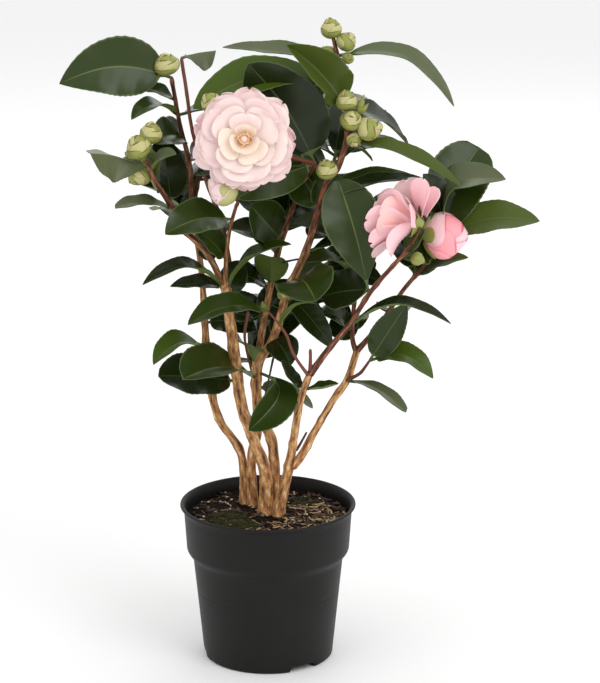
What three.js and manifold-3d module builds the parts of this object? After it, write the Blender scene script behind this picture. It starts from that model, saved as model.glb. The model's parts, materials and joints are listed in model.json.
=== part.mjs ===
// A young camellia shrub in its round nursery pot.
//
// Millimetres, +Z up. The origin is the centre of the pot's flat underside, and -Y is the side
// that the open bloom faces. Stems rise from one clump at the middle of the compost, boughs fork
// from them, and every mass of foliage is a cluster of flat leaf pads round a stretch of its shoot.
// Pieces that touch are cut back from each other by one small gap, so each stays its own solid.

import * as THREE from 'three';
import { mergeVertices } from 'three/addons/utils/BufferGeometryUtils.js';
import Module from 'manifold-3d';

const wasm = await Module();
wasm.setup();

// ---- Driving dimensions ------------------------------------------------------------------------

const GAP = 0.3;                 // clearance between neighbouring pieces
const FINEST = 0.1;              // slivers thinner than this, left by a cut, are merged away

const POT_HEIGHT = 136;
const LIP_RADIUS = 75;           // the pot's largest radius, at its rolled lip
const LIP_HEIGHT = 3;
const LIP_ROUNDING = 0.9;
const COLLAR_HEIGHT = 39;        // the wide band under the lip
const COLLAR_TOP_RADIUS = 72.2;
const COLLAR_FOOT_RADIUS = 69.6;
const BODY_TOP_RADIUS = 64.2;    // the tapering body, under the step
const BODY_FOOT_RADIUS = 55.3;
const STEP_HEIGHT = 9;           // rounded step between collar and body
const STEP_SHOULDER = 0.42;      // share of the step that lies above its shoulder
const SHOULDER_INSET = 1.6;
const WALL = 1.4;
const FLOOR_RISE = 6;            // the floor stands off the ground between foot ring and pad
const PAD_RADIUS = 12;           // flat pad in the middle of the underside
const FOOT_RING_WIDTH = 7;
const FOOT_CHAMFER = 2;
const POT_SEGMENTS = 24;
const NOTCH_COUNT = 3;           // drain notches through the foot ring
const NOTCH_WIDTH = 24;
const NOTCH_HEIGHT = 5;
const NOTCH_TURN = 34;           // degrees from -Y to the first notch
const HOLE_COUNT = 4;            // drain holes through the floor
const HOLE_RADIUS = 5;
const HOLE_CIRCLE = 29;
const HOLE_SIDES = 6;

const SOIL_EDGE = 124;           // height of the compost at the pot's wall
const SOIL_MIDDLE = 127;         // height of the level middle, where the stems stand
const SOIL_MIDDLE_RADIUS = 38;

const LIMB_SIDES = 6;
const RING_SPACING = 30;         // length of limb between two rings
const FLARE_GROWTH = 0.55;       // how much a stem swells where it leaves the compost
const FLARE_REACH = 11;
const FOOT_DEPTH = 12;           // a stem is drawn this far down, then cut level
const PAD_THICKNESS = 6;         // of one leaf pad
const SHORT_REACH = 58;          // a pad shorter than this has one section between its ends
const KEEL_SHARE = 0.3;          // share of a pad's thickness that lies above its rib
const PAD_ARCH = 0.14;           // rise of a pad's middle, as a share of its reach
const PAD_END = 1.4;             // least half width and thickness of a pad, at its two ends
const FLANK_GROWTH = 2.1;        // a grown pad widens by this much more than the gap, so that
const KEEL_GROWTH = 1.2;         // its sloping flanks stand off by the whole gap too
const CORE_RADIUS = 6.5;         // of the cluster's core round its shoot
const TWIG_CORE_RADIUS = 3.6;    // of the core where the mass has a twig of its own
const BUD_LIMIT = 20;            // lumps larger than this across X are blooms, with finer facets

// Stems and boughs. Each follows its own knots, [x, y, z], from foot to tip, and tapers evenly
// from one radius to the other. A bough's first knot lies on the limb that carries it.
const LIMBS = {
  stem_main: {
    radii: [5.2, 4.1],
    knots: [[-2, 0, 127], [-3, -3, 166], [-13, -7, 196], [-22, -9, 225], [-27, -9, 264],
      [-35, -6, 327]],
  },
  stem_centre: {
    radii: [4.6, 1.7],
    knots: [[7, 14, 127], [3, 14, 187], [-5, 16, 204], [-9, 16, 222], [-7, 14, 256],
      [4, 12, 276], [17, 2, 320], [34, -12, 364], [50, -22, 421], [59, -21, 433],
      [67, -14, 466], [64, -4, 493], [54, 4, 537]],
  },
  stem_left: {
    radii: [3.9, 1.6],
    knots: [[-20, 26, 127], [-24, 28, 172], [-41, 31, 198], [-49, 35, 225], [-57, 42, 332],
      [-63, 38, 381], [-66, 32, 427], [-72, 26, 455], [-78, 2, 502]],
  },
  stem_back: {
    radii: [4.2, 1.8],
    knots: [[-13, 20, 127], [-14, 22, 170], [-9, 25, 192], [-11, 28, 241], [-6, 30, 271],
      [8, 28, 346], [19, 20, 381], [28, 9, 408], [40, -4, 431]],
  },
  stem_right: {
    radii: [4.4, 2.7],
    knots: [[9, -4, 127], [18, -8, 169], [28, -18, 232], [36, -24, 258]],
  },
  bough_left: {
    radii: [2.9, 1.8],
    knots: [[-35, -6, 324], [-47, 0, 349], [-60, 6, 364], [-67, 4, 371], [-78, -12, 396],
      [-91, -34, 424], [-97, -42, 442]],
  },
  bough_pink_bud: {
    radii: [2.1, 1.4],
    knots: [[-35, -6, 324], [-34, -10, 349], [-31, -20, 377], [-24, -42, 406]],
  },
  bough_side_bloom: {
    radii: [2.6, 1.6],
    knots: [[35, -23, 255], [53, -30, 282], [68, -36, 302], [86, -46, 334], [120, -62, 378]],
  },
  bough_right: {
    radii: [3.4, 2.8],
    knots: [[20, -9, 170], [28, -2, 177], [38, 4, 194], [57, 13, 225], [67, 16, 239],
      [76, 21, 265]],
  },
  bough_half_bloom: {
    radii: [2.3, 1.5],
    knots: [[75, 21, 263], [93, 16, 286], [115, 4, 323], [137, -8, 354], [145, -5, 370]],
  },
  bough_right_inner: {
    radii: [2, 1.4],
    knots: [[75, 21, 263], [72, 24, 274], [76, 40, 322], [78, 44, 337]],
  },
  bough_back_left: {
    radii: [2.2, 1.3],
    knots: [[-63, 37, 385], [-58, 62, 408], [-50, 84, 430], [-42, 98, 452]],
  },
  bough_back_middle: {
    radii: [2.2, 1.3],
    knots: [[7, 28, 342], [12, 52, 362], [18, 78, 380], [22, 100, 396]],
  },
  bough_back_right: {
    radii: [2.1, 1.3],
    knots: [[42, -17, 391], [50, 12, 410], [58, 50, 428], [66, 84, 440]],
  },
  bough_back_low: {
    radii: [1.8, 1.2],
    knots: [[77, 42, 332], [80, 66, 344], [82, 92, 354]],
  },
};

// Masses of foliage. shoot names the limb that carries the mass, and stretch the part of it, from
// 0 at its foot to 1 at its tip, that the core of the mass wraps. A mass on a twig of its own names
// the twig's knots instead. Each leaf pad is one row:
//   [along the shoot, heading, rise, reach, width, turn]
// heading is counted in degrees from +X towards +Y, rise is degrees above level, reach and width
// are millimetres, and turn tips the pad's upper side from level (0) to facing -Y (90).
// lumps are round buds and blooms, [x, y, z, radius along X, along Y, along Z].
const MASSES = {
  foliage_upper_left: {
    shoot: 'stem_left', stretch: [0.83, 1],
    pads: [[1, 198, 0, 94, 48, 70], [0.99, 30, 4, 46, 22, 40], [0.94, 186, 16, 38, 20, 25],
      [0.9, 230, 4, 56, 24, 5], [0.84, 240, 4, 46, 28, 40]],
    lumps: [[-82, 0, 513, 10, 10, 11]],
  },
  foliage_left_behind: {
    shoot: 'stem_left', stretch: [0.68, 0.75],
    pads: [[0.72, 150, 20, 48, 26, 20]],
  },
  foliage_low_left: {
    shoot: 'stem_left', stretch: [0.34, 0.4],
    pads: [[0.36, 215, -5, 53, 28, 5], [0.4, 358, -8, 44, 28, 40]],
  },
  foliage_bud_cluster: {
    shoot: 'bough_left', stretch: [0.6, 1],
    pads: [[0.93, 212, 20, 58, 42, 34], [0.78, 130, 30, 40, 36, 20], [0.62, 207, 6, 54, 24, 5],
      [0.62, 108, 58, 64, 34, 20]],
    lumps: [[-103, -44, 454, 13, 12, 12], [-101, -29, 430, 12, 11, 11]],
  },
  foliage_left_middle: {
    shoot: 'bough_pink_bud', stretch: [0.28, 1],
    pads: [[0.77, 210, -5, 62, 32, 40], [0.3, 205, 45, 40, 24, 50]],
    lumps: [[-36, -54, 416, 12, 12, 12]],
  },
  foliage_main_fork: {
    shoot: 'stem_main', stretch: [0.9, 1],
    pads: [[1, 213, 9, 80, 24, 5], [1, 187, 2, 46, 20, 15], [1, 344, 35, 70, 28, 20]],
  },
  foliage_main_low: {
    shoot: 'stem_main', stretch: [0.58, 0.86],
    pads: [[0.85, 72, -4, 58, 30, 30], [0.6, 203, 10, 72, 42, 36]],
  },
  foliage_front_bloom: {
    shoot: 'stem_back', stretch: [0.9, 1],
    pads: [[1, 205, 0, 107, 32, 40], [1, 202, 56, 105, 58, 112], [1, 220, -12, 85, 30, 70]],
    lumps: [[-17, -60, 466, 44, 24, 44]],
  },
  foliage_inner_left: {
    shoot: 'stem_back', stretch: [0.5, 0.79],
    pads: [[0.7, 228, 28, 66, 30, 40], [0.74, 240, 38, 64, 36, 105], [0.61, 270, 45, 46, 28, 40],
      [0.78, 322, -2, 58, 22, 26]],
  },
  foliage_top: {
    shoot: 'stem_centre', stretch: [0.86, 1],
    pads: [[0.95, 165, 4, 99, 26, 15], [0.9, 187, -7, 125, 40, 38], [0.87, 198, 46, 76, 38, 80],
      [0.96, 350, -22, 104, 24, 15]],
    lumps: [[54, 4, 543, 10, 10, 10], [67, 0, 531, 9, 9, 9]],
  },
  foliage_right_upper: {
    shoot: 'stem_centre', stretch: [0.75, 0.86],
    pads: [[0.85, 40, -31, 80, 32, 20], [0.8, 341, -18, 102, 20, 20]],
    lumps: [[66, -22, 473, 10, 10, 16], [88, -28, 462, 12, 12, 11]],
  },
  foliage_middle: {
    shoot: 'stem_centre', stretch: [0.63, 0.7],
    pads: [[0.65, 115, 30, 48, 34, 40], [0.67, 0, 13, 86, 24, 10], [0.66, 22, 12, 88, 20, 15]],
  },
  foliage_inner_front: {
    shoot: 'stem_centre', stretch: [0.35, 0.5],
    pads: [[0.49, 284, 2, 80, 48, 20], [0.36, 300, -30, 36, 28, 30], [0.46, 327, -42, 60, 22, 40]],
  },
  foliage_low_front: {
    shoot: 'stem_centre', stretch: [0.25, 0.3],
    pads: [[0.27, 238, 13, 114, 42, 30], [0.28, 262, -38, 60, 36, 40], [0.25, 14, -24, 54, 20, 24]],
  },
  foliage_low_middle: {
    shoot: 'stem_right', stretch: [0.82, 0.93],
    pads: [[0.88, 180, 52, 31, 16, 40], [0.88, 336, 14, 33, 18, 10]],
  },
  foliage_middle_right: {
    shoot: 'bough_side_bloom', stretch: [0.36, 0.64],
    pads: [[0.6, 140, 70, 98, 48, 60], [0.62, 155, -13, 46, 40, 42], [0.38, 340, 8, 88, 26, 0]],
  },
  foliage_side_bloom: {
    shoot: 'bough_side_bloom', stretch: [0.88, 1],
    pads: [],
    lumps: [[112, -58, 400, 29, 28, 36]],
  },
  foliage_right_tip: {
    shoot: 'bough_half_bloom', stretch: [0.78, 1],
    pads: [[1, 46, 56, 84, 50, 40], [1, 344, 44, 74, 42, 25], [1, 356, 10, 82, 34, 40]],
    lumps: [[147, -16, 373, 18, 19, 20]],
  },
  foliage_right_inner: {
    shoot: 'bough_right_inner', stretch: [0.2, 0.82],
    pads: [[0.77, 228, 24, 72, 32, 20], [0.24, 214, 32, 38, 24, 40]],
  },
  foliage_right_low: {
    shoot: 'bough_right', twig: [[67, 14, 240], [77, 8, 247], [83, 2, 256], [86, -2, 262]],
    pads: [[1, 320, 55, 68, 28, 110], [1, 345, -12, 58, 28, 20], [0, 320, -14, 66, 18, 10]],
  },
  foliage_left_front: {
    shoot: 'stem_right', twig: [[34, -26, 256], [22, -28, 275], [15, -30, 294], [1, -32, 313]],
    pads: [[1, 205, -3, 72, 32, 15]],
  },
  foliage_back_left: {
    shoot: 'bough_back_left', stretch: [0.5, 1],
    pads: [[0.6, 150, 0, 58, 32, 10], [0.8, 60, 0, 70, 34, 0], [1, 105, 5, 64, 34, 0]],
  },
  foliage_back_middle: {
    shoot: 'bough_back_middle', stretch: [0.5, 1],
    pads: [[0.6, 165, 5, 66, 32, 0], [0.7, 30, 5, 66, 32, 0], [1, 110, 10, 64, 34, 0]],
  },
  foliage_back_right: {
    shoot: 'bough_back_right', stretch: [0.55, 1],
    pads: [[0.6, 165, 15, 64, 32, 0], [0.75, 10, 0, 66, 32, 0], [1, 105, 20, 64, 34, 0]],
  },
  foliage_back_low: {
    shoot: 'bough_back_low', stretch: [0.45, 1],
    pads: [[0.6, 150, -5, 60, 30, 0], [0.7, 20, -10, 60, 30, 0], [1, 95, 10, 58, 30, 0]],
  },
};

// ---- Solids ------------------------------------------------------------------------------------

/** Turn a closed three.js geometry into a solid. */
function toSolid(geometry) {
  const bare = geometry.clone();
  bare.deleteAttribute('normal');
  bare.deleteAttribute('uv');
  const merged = mergeVertices(bare, 1e-4);
  return new wasm.Manifold(new wasm.Mesh({
    numProp: 3,
    vertProperties: Float32Array.from(merged.attributes.position.array),
    triVerts: Uint32Array.from(merged.index.array),
  }));
}

/** Turn a solid back into a geometry whose vertices are counted from the point `at`. */
function toGeometry(solid, at) {
  const mesh = solid.getMesh();
  const geometry = new THREE.BufferGeometry();
  geometry.setAttribute('position', new THREE.BufferAttribute(mesh.vertProperties, 3));
  geometry.setIndex(new THREE.BufferAttribute(mesh.triVerts, 1));
  geometry.translate(-at.x, -at.y, -at.z);
  geometry.computeVertexNormals();
  return geometry;
}

/** The largest body of a solid that cutting may have parted. */
function largestBody(solid) {
  const bodies = solid.simplify(FINEST).decompose();
  bodies.sort((a, b) => b.volume() - a.volume());
  return bodies[0];
}

/** A closed skin over rings of equal length, each ring a list of Vector3, capped at both ends. */
function skin(rings) {
  const sides = rings[0].length;
  const positions = rings.flat().flatMap((p) => [p.x, p.y, p.z]);
  const index = [];
  for (let r = 0; r + 1 < rings.length; r += 1) {
    for (let s = 0; s < sides; s += 1) {
      const a = r * sides + s;
      const b = r * sides + ((s + 1) % sides);
      index.push(a, b, b + sides, a, b + sides, a + sides);
    }
  }
  const last = (rings.length - 1) * sides;
  for (let s = 1; s + 1 < sides; s += 1) {
    index.push(0, s + 1, s);
    index.push(last, last + s, last + s + 1);
  }
  const geometry = new THREE.BufferGeometry();
  geometry.setAttribute('position', new THREE.Float32BufferAttribute(positions, 3));
  geometry.setIndex(index);
  return toSolid(geometry);
}

/** Vectors from a list of [x, y, z]. */
function vectors(knots) {
  return knots.map((k) => new THREE.Vector3(...k));
}

/**
 * A tapering limb. Rings of LIMB_SIDES points stand square to the curve through the knots, and
 * their radius runs from the first of `radii` to the second; `flare` swells the foot.
 */
function limb(knots, radii, flare, grow) {
  const curve = new THREE.CatmullRomCurve3(vectors(knots), false, 'centripetal');
  const length = curve.getLength();
  const steps = Math.max(2, Math.round(length / RING_SPACING));
  const rings = [];
  let side = new THREE.Vector3(1, 0, 0);
  for (let i = 0; i <= steps; i += 1) {
    const share = i / steps;
    const centre = curve.getPointAt(share);
    const tangent = curve.getTangentAt(share);
    side = side.clone().addScaledVector(tangent, -side.dot(tangent)).normalize();
    const up = tangent.clone().cross(side);
    const swell = 1 + flare * Math.exp(-share * length / FLARE_REACH);
    const radius = THREE.MathUtils.lerp(radii[0], radii[1], share) * swell + grow;
    const end = i === 0 ? -grow : (i === steps ? grow : 0);
    centre.addScaledVector(tangent, end);
    rings.push(Array.from({ length: LIMB_SIDES }, (_, s) => {
      const angle = (2 * Math.PI * s) / LIMB_SIDES;
      return centre.clone()
        .addScaledVector(side, radius * Math.cos(angle))
        .addScaledVector(up, radius * Math.sin(angle));
    }));
  }
  return skin(rings);
}

/** Knots of a stem, drawn on down into the compost so that it can be cut level. */
function withFoot(knots) {
  const [x, y, z] = knots[0];
  return [[x, y, z - FOOT_DEPTH], ...knots];
}

/** One named limb as a solid; stems end in a level cut on the compost, boughs at their fork. */
function namedLimb(name, grow) {
  const { knots, radii } = LIMBS[name];
  if (!name.startsWith('stem')) {
    return limb(knots, radii, 0, grow);
  }
  const drawn = limb(withFoot(knots), radii, FLARE_GROWTH, grow);
  return drawn.trimByPlane([0, 0, 1], SOIL_MIDDLE + GAP - grow);
}

/** Point on a shoot at a share of its length. */
function pointOn(curve, share) {
  return curve.getPointAt(THREE.MathUtils.clamp(share, 0, 1));
}

/** Unit vector from a heading and a rise, both in degrees. */
function direction(heading, rise) {
  const h = THREE.MathUtils.degToRad(heading);
  const r = THREE.MathUtils.degToRad(rise);
  return new THREE.Vector3(Math.cos(h) * Math.cos(r), Math.sin(h) * Math.cos(r), Math.sin(r));
}

/**
 * A flat leaf pad: three-sided sections along an arched rib, level on the upper side and keeled
 * below, as wide as a leaf's blade, from a narrow stalk end to a narrow tip.
 */
function leafPad(root, heading, rise, reach, width, turn, grow) {
  const along = direction(heading, rise);
  const level = new THREE.Vector3(0, 0, 1).addScaledVector(along, -along.z).normalize();
  const across = along.clone().cross(level);
  const front = across.y <= 0 ? across : across.clone().negate();
  const angle = THREE.MathUtils.degToRad(turn);
  const face = level.clone().multiplyScalar(Math.cos(angle))
    .addScaledVector(front, Math.sin(angle));
  const edge = face.clone().cross(along);
  const stations = reach < SHORT_REACH ? [0, 0.45, 1] : [0, 0.28, 0.64, 1];
  const rings = stations.map((share) => {
    const blade = Math.sin(Math.PI * (0.04 + 0.93 * share)) ** 0.8;
    const half = Math.max(PAD_END, 0.5 * width * blade);
    const deep = Math.max(PAD_END, PAD_THICKNESS * blade);
    const spread = half + (FLANK_GROWTH * grow * half) / deep;
    const end = share === 0 ? -grow : (share === 1 ? grow : 0);
    const centre = root.clone()
      .addScaledVector(along, share * reach + end)
      .addScaledVector(level, PAD_ARCH * reach * Math.sin(Math.PI * share));
    const point = (u, v) => centre.clone().addScaledVector(edge, u).addScaledVector(face, v);
    const top = KEEL_SHARE * deep + grow;
    return [point(spread, top), point(-spread, top),
      point(0, -(1 - KEEL_SHARE) * deep - KEEL_GROWTH * grow)];
  });
  return skin(rings);
}

/** A round bud or bloom. */
function lump([x, y, z, rx, ry, rz], grow) {
  const facets = rx > BUD_LIMIT ? THREE.IcosahedronGeometry : THREE.OctahedronGeometry;
  const ball = new facets(1, 1);
  ball.scale(rx + grow, ry + grow, rz + grow);
  ball.translate(x, y, z);
  return toSolid(ball);
}

/** One named mass of foliage: its core, its pads and its lumps in one solid. */
function namedMass(name, grow) {
  const { shoot, stretch, twig, pads, lumps = [] } = MASSES[name];
  const knots = twig ?? LIMBS[shoot].knots;
  const [from, to] = twig ? [0, 1] : stretch;
  const curve = new THREE.CatmullRomCurve3(vectors(knots), false, 'centripetal');
  const path = [0, 0.33, 0.67, 1].map((share) => pointOn(curve, from + (to - from) * share));
  const radius = twig ? TWIG_CORE_RADIUS : CORE_RADIUS;
  let solid = limb(path.map((p) => p.toArray()), [radius, radius], 0, grow);
  for (const [share, heading, rise, reach, width, turn] of pads) {
    const root = pointOn(curve, share);
    solid = solid.add(leafPad(root, heading, rise, reach, width, turn, grow));
  }
  for (const ball of lumps) {
    solid = solid.add(lump(ball, grow));
  }
  return solid;
}

// ---- Pot and compost ---------------------------------------------------------------------------

/** A solid turned from a closed outline of [radius, height] points. */
function turned(outline) {
  const points = outline.map(([r, z]) => new THREE.Vector2(r, z));
  const lathe = new THREE.LatheGeometry(points, POT_SEGMENTS);
  lathe.rotateX(Math.PI / 2);
  return toSolid(lathe);
}

/** Radius of the pot's outer body wall at a height. */
function bodyRadius(height) {
  const top = POT_HEIGHT - COLLAR_HEIGHT - STEP_HEIGHT;
  return THREE.MathUtils.lerp(BODY_FOOT_RADIUS, BODY_TOP_RADIUS, height / top);
}

/** Corner points of the pot's wall, from the foot up, moved inwards by `inset`. */
function wallOutline(inset) {
  const collarFoot = POT_HEIGHT - COLLAR_HEIGHT;
  const bodyTop = collarFoot - STEP_HEIGHT;
  return [
    [bodyRadius(bodyTop) - inset, bodyTop],
    [COLLAR_FOOT_RADIUS - SHOULDER_INSET - inset, collarFoot - STEP_SHOULDER * STEP_HEIGHT],
    [COLLAR_FOOT_RADIUS - inset, collarFoot],
    [COLLAR_TOP_RADIUS - inset, POT_HEIGHT - LIP_HEIGHT],
  ];
}

/** The nursery pot: one moulded shell with a lip, a collar, a stepped body and a notched foot. */
function potSolid() {
  const floorTop = FLOOR_RISE + WALL;
  const ringOuter = BODY_FOOT_RADIUS - FOOT_CHAMFER;
  const ringInner = ringOuter - FOOT_RING_WIDTH;
  const lipFoot = POT_HEIGHT - LIP_HEIGHT;
  const outline = [
    [0, 0], [PAD_RADIUS, 0], [PAD_RADIUS, FLOOR_RISE], [ringInner, FLOOR_RISE],
    [ringInner, 0], [ringOuter, 0], [bodyRadius(FOOT_CHAMFER), FOOT_CHAMFER],
    ...wallOutline(0),
    [LIP_RADIUS - LIP_ROUNDING, lipFoot], [LIP_RADIUS, lipFoot + LIP_ROUNDING],
    [LIP_RADIUS, POT_HEIGHT - LIP_ROUNDING], [LIP_RADIUS - LIP_ROUNDING, POT_HEIGHT],
    [COLLAR_TOP_RADIUS - WALL, POT_HEIGHT],
    ...wallOutline(WALL).reverse(),
    [bodyRadius(floorTop) - WALL, floorTop], [0, floorTop],
  ];
  let solid = turned(outline);
  for (let i = 0; i < NOTCH_COUNT; i += 1) {
    const notch = new THREE.BoxGeometry(NOTCH_WIDTH, 2 * FOOT_RING_WIDTH, 2 * NOTCH_HEIGHT);
    notch.translate(0, -ringOuter + 0.5 * FOOT_RING_WIDTH, 0);
    notch.rotateZ(THREE.MathUtils.degToRad(NOTCH_TURN + (360 * i) / NOTCH_COUNT));
    solid = solid.subtract(toSolid(notch));
  }
  for (let i = 0; i < HOLE_COUNT; i += 1) {
    const hole = new THREE.CylinderGeometry(HOLE_RADIUS, HOLE_RADIUS, 4 * FLOOR_RISE, HOLE_SIDES);
    hole.rotateX(Math.PI / 2);
    hole.translate(0, -HOLE_CIRCLE, FLOOR_RISE);
    hole.rotateZ((2 * Math.PI * i) / HOLE_COUNT);
    solid = solid.subtract(toSolid(hole));
  }
  return solid;
}

/** The root ball and compost, filling the pot to a little under its lip. */
function compostSolid() {
  const [bodyTop, , collarFoot, collarTop] = wallOutline(WALL + GAP);
  const bottom = FLOOR_RISE + WALL + GAP;
  const edgeShare = (SOIL_EDGE - collarFoot[1]) / (collarTop[1] - collarFoot[1]);
  const edgeRadius = THREE.MathUtils.lerp(collarFoot[0], collarTop[0], edgeShare);
  return turned([
    [0, bottom], [bodyRadius(bottom) - WALL - GAP, bottom],
    bodyTop, collarFoot, [edgeRadius, SOIL_EDGE],
    [SOIL_MIDDLE_RADIUS, SOIL_MIDDLE], [0, SOIL_MIDDLE],
  ]);
}

// ---- Materials and assembly --------------------------------------------------------------------

const MATERIALS = {
  pot: { color: 0x2e2c2b, roughness: 0.55, metalness: 0 },
  compost: { color: 0x2b1d15, roughness: 1, metalness: 0 },
  bark: { color: 0xa9794c, roughness: 0.85, metalness: 0 },
  foliage: { color: 0x2f4a22, roughness: 0.45, metalness: 0 },
};

/** A named mesh of a solid, standing at `at` inside its group. */
function place(group, name, solid, material, at = new THREE.Vector3()) {
  const surface = new THREE.MeshStandardMaterial(MATERIALS[material]);
  const mesh = new THREE.Mesh(toGeometry(solid, at), surface);
  mesh.name = name;
  mesh.position.copy(at);
  group.add(mesh);
}

const shrub = new THREE.Group();
const potGroup = new THREE.Group();
const woodGroup = new THREE.Group();
const foliageGroup = new THREE.Group();
shrub.add(potGroup, woodGroup, foliageGroup);

place(potGroup, 'pot', potSolid(), 'pot');
place(potGroup, 'compost', compostSolid(), 'compost');

let taken = null;                // everything placed so far above the compost, grown by the gap
for (const name of Object.keys(LIMBS)) {
  const whole = namedLimb(name, 0);
  const solid = taken ? largestBody(whole.subtract(taken)) : whole;
  place(woodGroup, name, solid, 'bark', new THREE.Vector3(...LIMBS[name].knots[0]));
  taken = taken ? taken.add(namedLimb(name, GAP)) : namedLimb(name, GAP);
}
for (const name of Object.keys(MASSES)) {
  const solid = largestBody(namedMass(name, 0).subtract(taken));
  const { shoot, twig } = MASSES[name];
  const [start] = twig ?? LIMBS[shoot].knots;
  place(foliageGroup, name, solid, 'foliage', new THREE.Vector3(...start));
  taken = taken.add(namedMass(name, GAP));
}

export default shrub;
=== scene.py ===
# %% [markdown]
# # A young camellia in its pot
#
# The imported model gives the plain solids: a pot, its compost, fifteen limbs and twenty-five leaf
# masses. This lesson dresses them. Each limb becomes a mesh with bark relief, each mass becomes
# separate leaves, buds and blooms, and the pot gets its rolled lip and moulded step. Everything is
# written in millimetres and turned into metres when a mesh is made.

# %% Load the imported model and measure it
import json
import math

import bpy
import numpy as np
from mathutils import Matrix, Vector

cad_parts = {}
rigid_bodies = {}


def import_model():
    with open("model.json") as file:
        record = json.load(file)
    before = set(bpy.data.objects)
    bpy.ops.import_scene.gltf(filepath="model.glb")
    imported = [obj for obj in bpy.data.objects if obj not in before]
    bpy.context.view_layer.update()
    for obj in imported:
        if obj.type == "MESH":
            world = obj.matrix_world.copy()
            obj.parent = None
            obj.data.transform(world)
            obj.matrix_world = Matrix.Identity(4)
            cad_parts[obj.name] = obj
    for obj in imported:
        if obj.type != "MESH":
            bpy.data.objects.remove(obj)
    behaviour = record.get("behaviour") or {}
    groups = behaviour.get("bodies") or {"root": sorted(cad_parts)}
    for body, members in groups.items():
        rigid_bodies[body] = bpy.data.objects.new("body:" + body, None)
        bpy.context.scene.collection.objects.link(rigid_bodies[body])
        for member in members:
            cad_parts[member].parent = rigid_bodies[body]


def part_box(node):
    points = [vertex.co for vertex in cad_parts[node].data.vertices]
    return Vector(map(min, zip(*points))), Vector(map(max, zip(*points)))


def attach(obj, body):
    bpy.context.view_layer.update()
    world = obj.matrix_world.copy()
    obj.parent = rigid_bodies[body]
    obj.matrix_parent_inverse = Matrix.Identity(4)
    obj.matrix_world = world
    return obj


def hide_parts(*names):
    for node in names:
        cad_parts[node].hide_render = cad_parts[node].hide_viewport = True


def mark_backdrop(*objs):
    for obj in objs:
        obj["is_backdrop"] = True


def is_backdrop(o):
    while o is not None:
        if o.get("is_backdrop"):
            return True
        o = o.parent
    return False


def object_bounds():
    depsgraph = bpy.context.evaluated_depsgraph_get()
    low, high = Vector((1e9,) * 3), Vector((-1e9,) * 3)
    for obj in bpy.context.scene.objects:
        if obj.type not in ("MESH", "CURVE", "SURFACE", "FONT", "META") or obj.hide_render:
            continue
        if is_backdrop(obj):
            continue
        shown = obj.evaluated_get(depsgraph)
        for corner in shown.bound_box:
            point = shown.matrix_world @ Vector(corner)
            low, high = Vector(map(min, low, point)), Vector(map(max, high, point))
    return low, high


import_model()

MM = 0.001
cad_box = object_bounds()
pot_low, pot_high = (np.array(corner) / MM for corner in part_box("pot"))
soil_high = np.array(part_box("compost")[1]) / MM
print("pot", pot_high - pot_low, "mm; compost top", round(float(soil_high[2]), 1), "mm")

# %% [markdown]
# ## Camera and light
#
# A catalogue view: a long lens, a little above the plant, on a pale floor. A long lens keeps the
# stems' proportions; a short one would swell the leaves that point forwards. Two large soft lamps
# and a pale sky give broad highlights, because a camellia leaf shows its gloss as wide grey sheens.

# %% Camera
CAMERA_AT = (27.4, -2200.0, 884.0)
CAMERA_PITCH = 15.4              # degrees below level
LENS = 143.0
lens = bpy.data.cameras.new("camera")
lens.lens = LENS
lens.clip_end = 60
camera = bpy.data.objects.new("camera", lens)
camera.location = np.array(CAMERA_AT) * MM
camera.rotation_euler = (math.radians(90 - CAMERA_PITCH), 0, 0)
bpy.context.collection.objects.link(camera)
bpy.context.scene.camera = camera
bpy.context.scene.view_settings.view_transform = "Standard"
print("camera at", tuple(camera.location))


# %% A finish of one colour


def paint(red, green, blue):
    """Screen colour, 0 to 255, turned into the linear colour that a shader takes."""
    screen = np.array((red, green, blue)) / 255
    linear = np.where(screen <= 0.04045, screen / 12.92, ((screen + 0.055) / 1.055) ** 2.4)
    return (*linear, 1.0)


def finish(name, colour, roughness, **sockets):
    """A material of one colour; `sockets` sets more of the shader's own numbers by name."""
    material = bpy.data.materials.new(name)
    material.use_nodes = True
    shader = material.node_tree.nodes["Principled BSDF"]
    shader.inputs["Base Color"].default_value = colour
    shader.inputs["Roughness"].default_value = roughness
    for socket, value in sockets.items():
        shader.inputs[socket.replace("_", " ")].default_value = value
    return material


# %% Floor, sky and soft lamps
def soft_lamp(name, place, size, watts):
    """A square lamp `size` metres wide at `place`, turned to face the middle of the crown."""
    lamp = bpy.data.lights.new(name, "AREA")
    lamp.size = size
    lamp.energy = watts
    thing = bpy.data.objects.new(name, lamp)
    thing.location = place
    aim = np.array((0, 0, 0.3)) - np.array(place)
    level = math.hypot(aim[0], aim[1])
    thing.rotation_euler = (math.atan2(level, -aim[2]), 0, math.atan2(aim[1], aim[0]) - math.pi / 2)
    bpy.context.collection.objects.link(thing)
    return thing


def pale_floor(half):
    """A square of floor, `half` metres to each side of the pot."""
    mesh = bpy.data.meshes.new("floor")
    corners = [(-half, -half, 0), (half, -half, 0), (half, half, 0), (-half, half, 0)]
    mesh.from_pydata(corners, [], [(0, 1, 2, 3)])
    thing = bpy.data.objects.new("floor", mesh)
    bpy.context.collection.objects.link(thing)
    return thing


floor = pale_floor(24)
floor.data.materials.append(finish("pale_floor", (0.93, 0.93, 0.93, 1), 0.9))
SKY_STRENGTH = 0.95
sky = bpy.context.scene.world or bpy.data.worlds.new("sky")
bpy.context.scene.world = sky
sky.use_nodes = True
sky.node_tree.nodes["Background"].inputs["Color"].default_value = (1, 1, 1, 1)
sky.node_tree.nodes["Background"].inputs["Strength"].default_value = SKY_STRENGTH
lamps = [
    soft_lamp("key", (1.5, -1.6, 1.9), 1.4, 20),
    soft_lamp("fill", (-1.9, -1.3, 1.3), 1.6, 5),
    soft_lamp("rim", (0.4, 1.9, 1.8), 1.6, 10),
]
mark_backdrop(floor, *lamps)
print("stage: floor and", len(lamps), "lamps")

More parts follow.
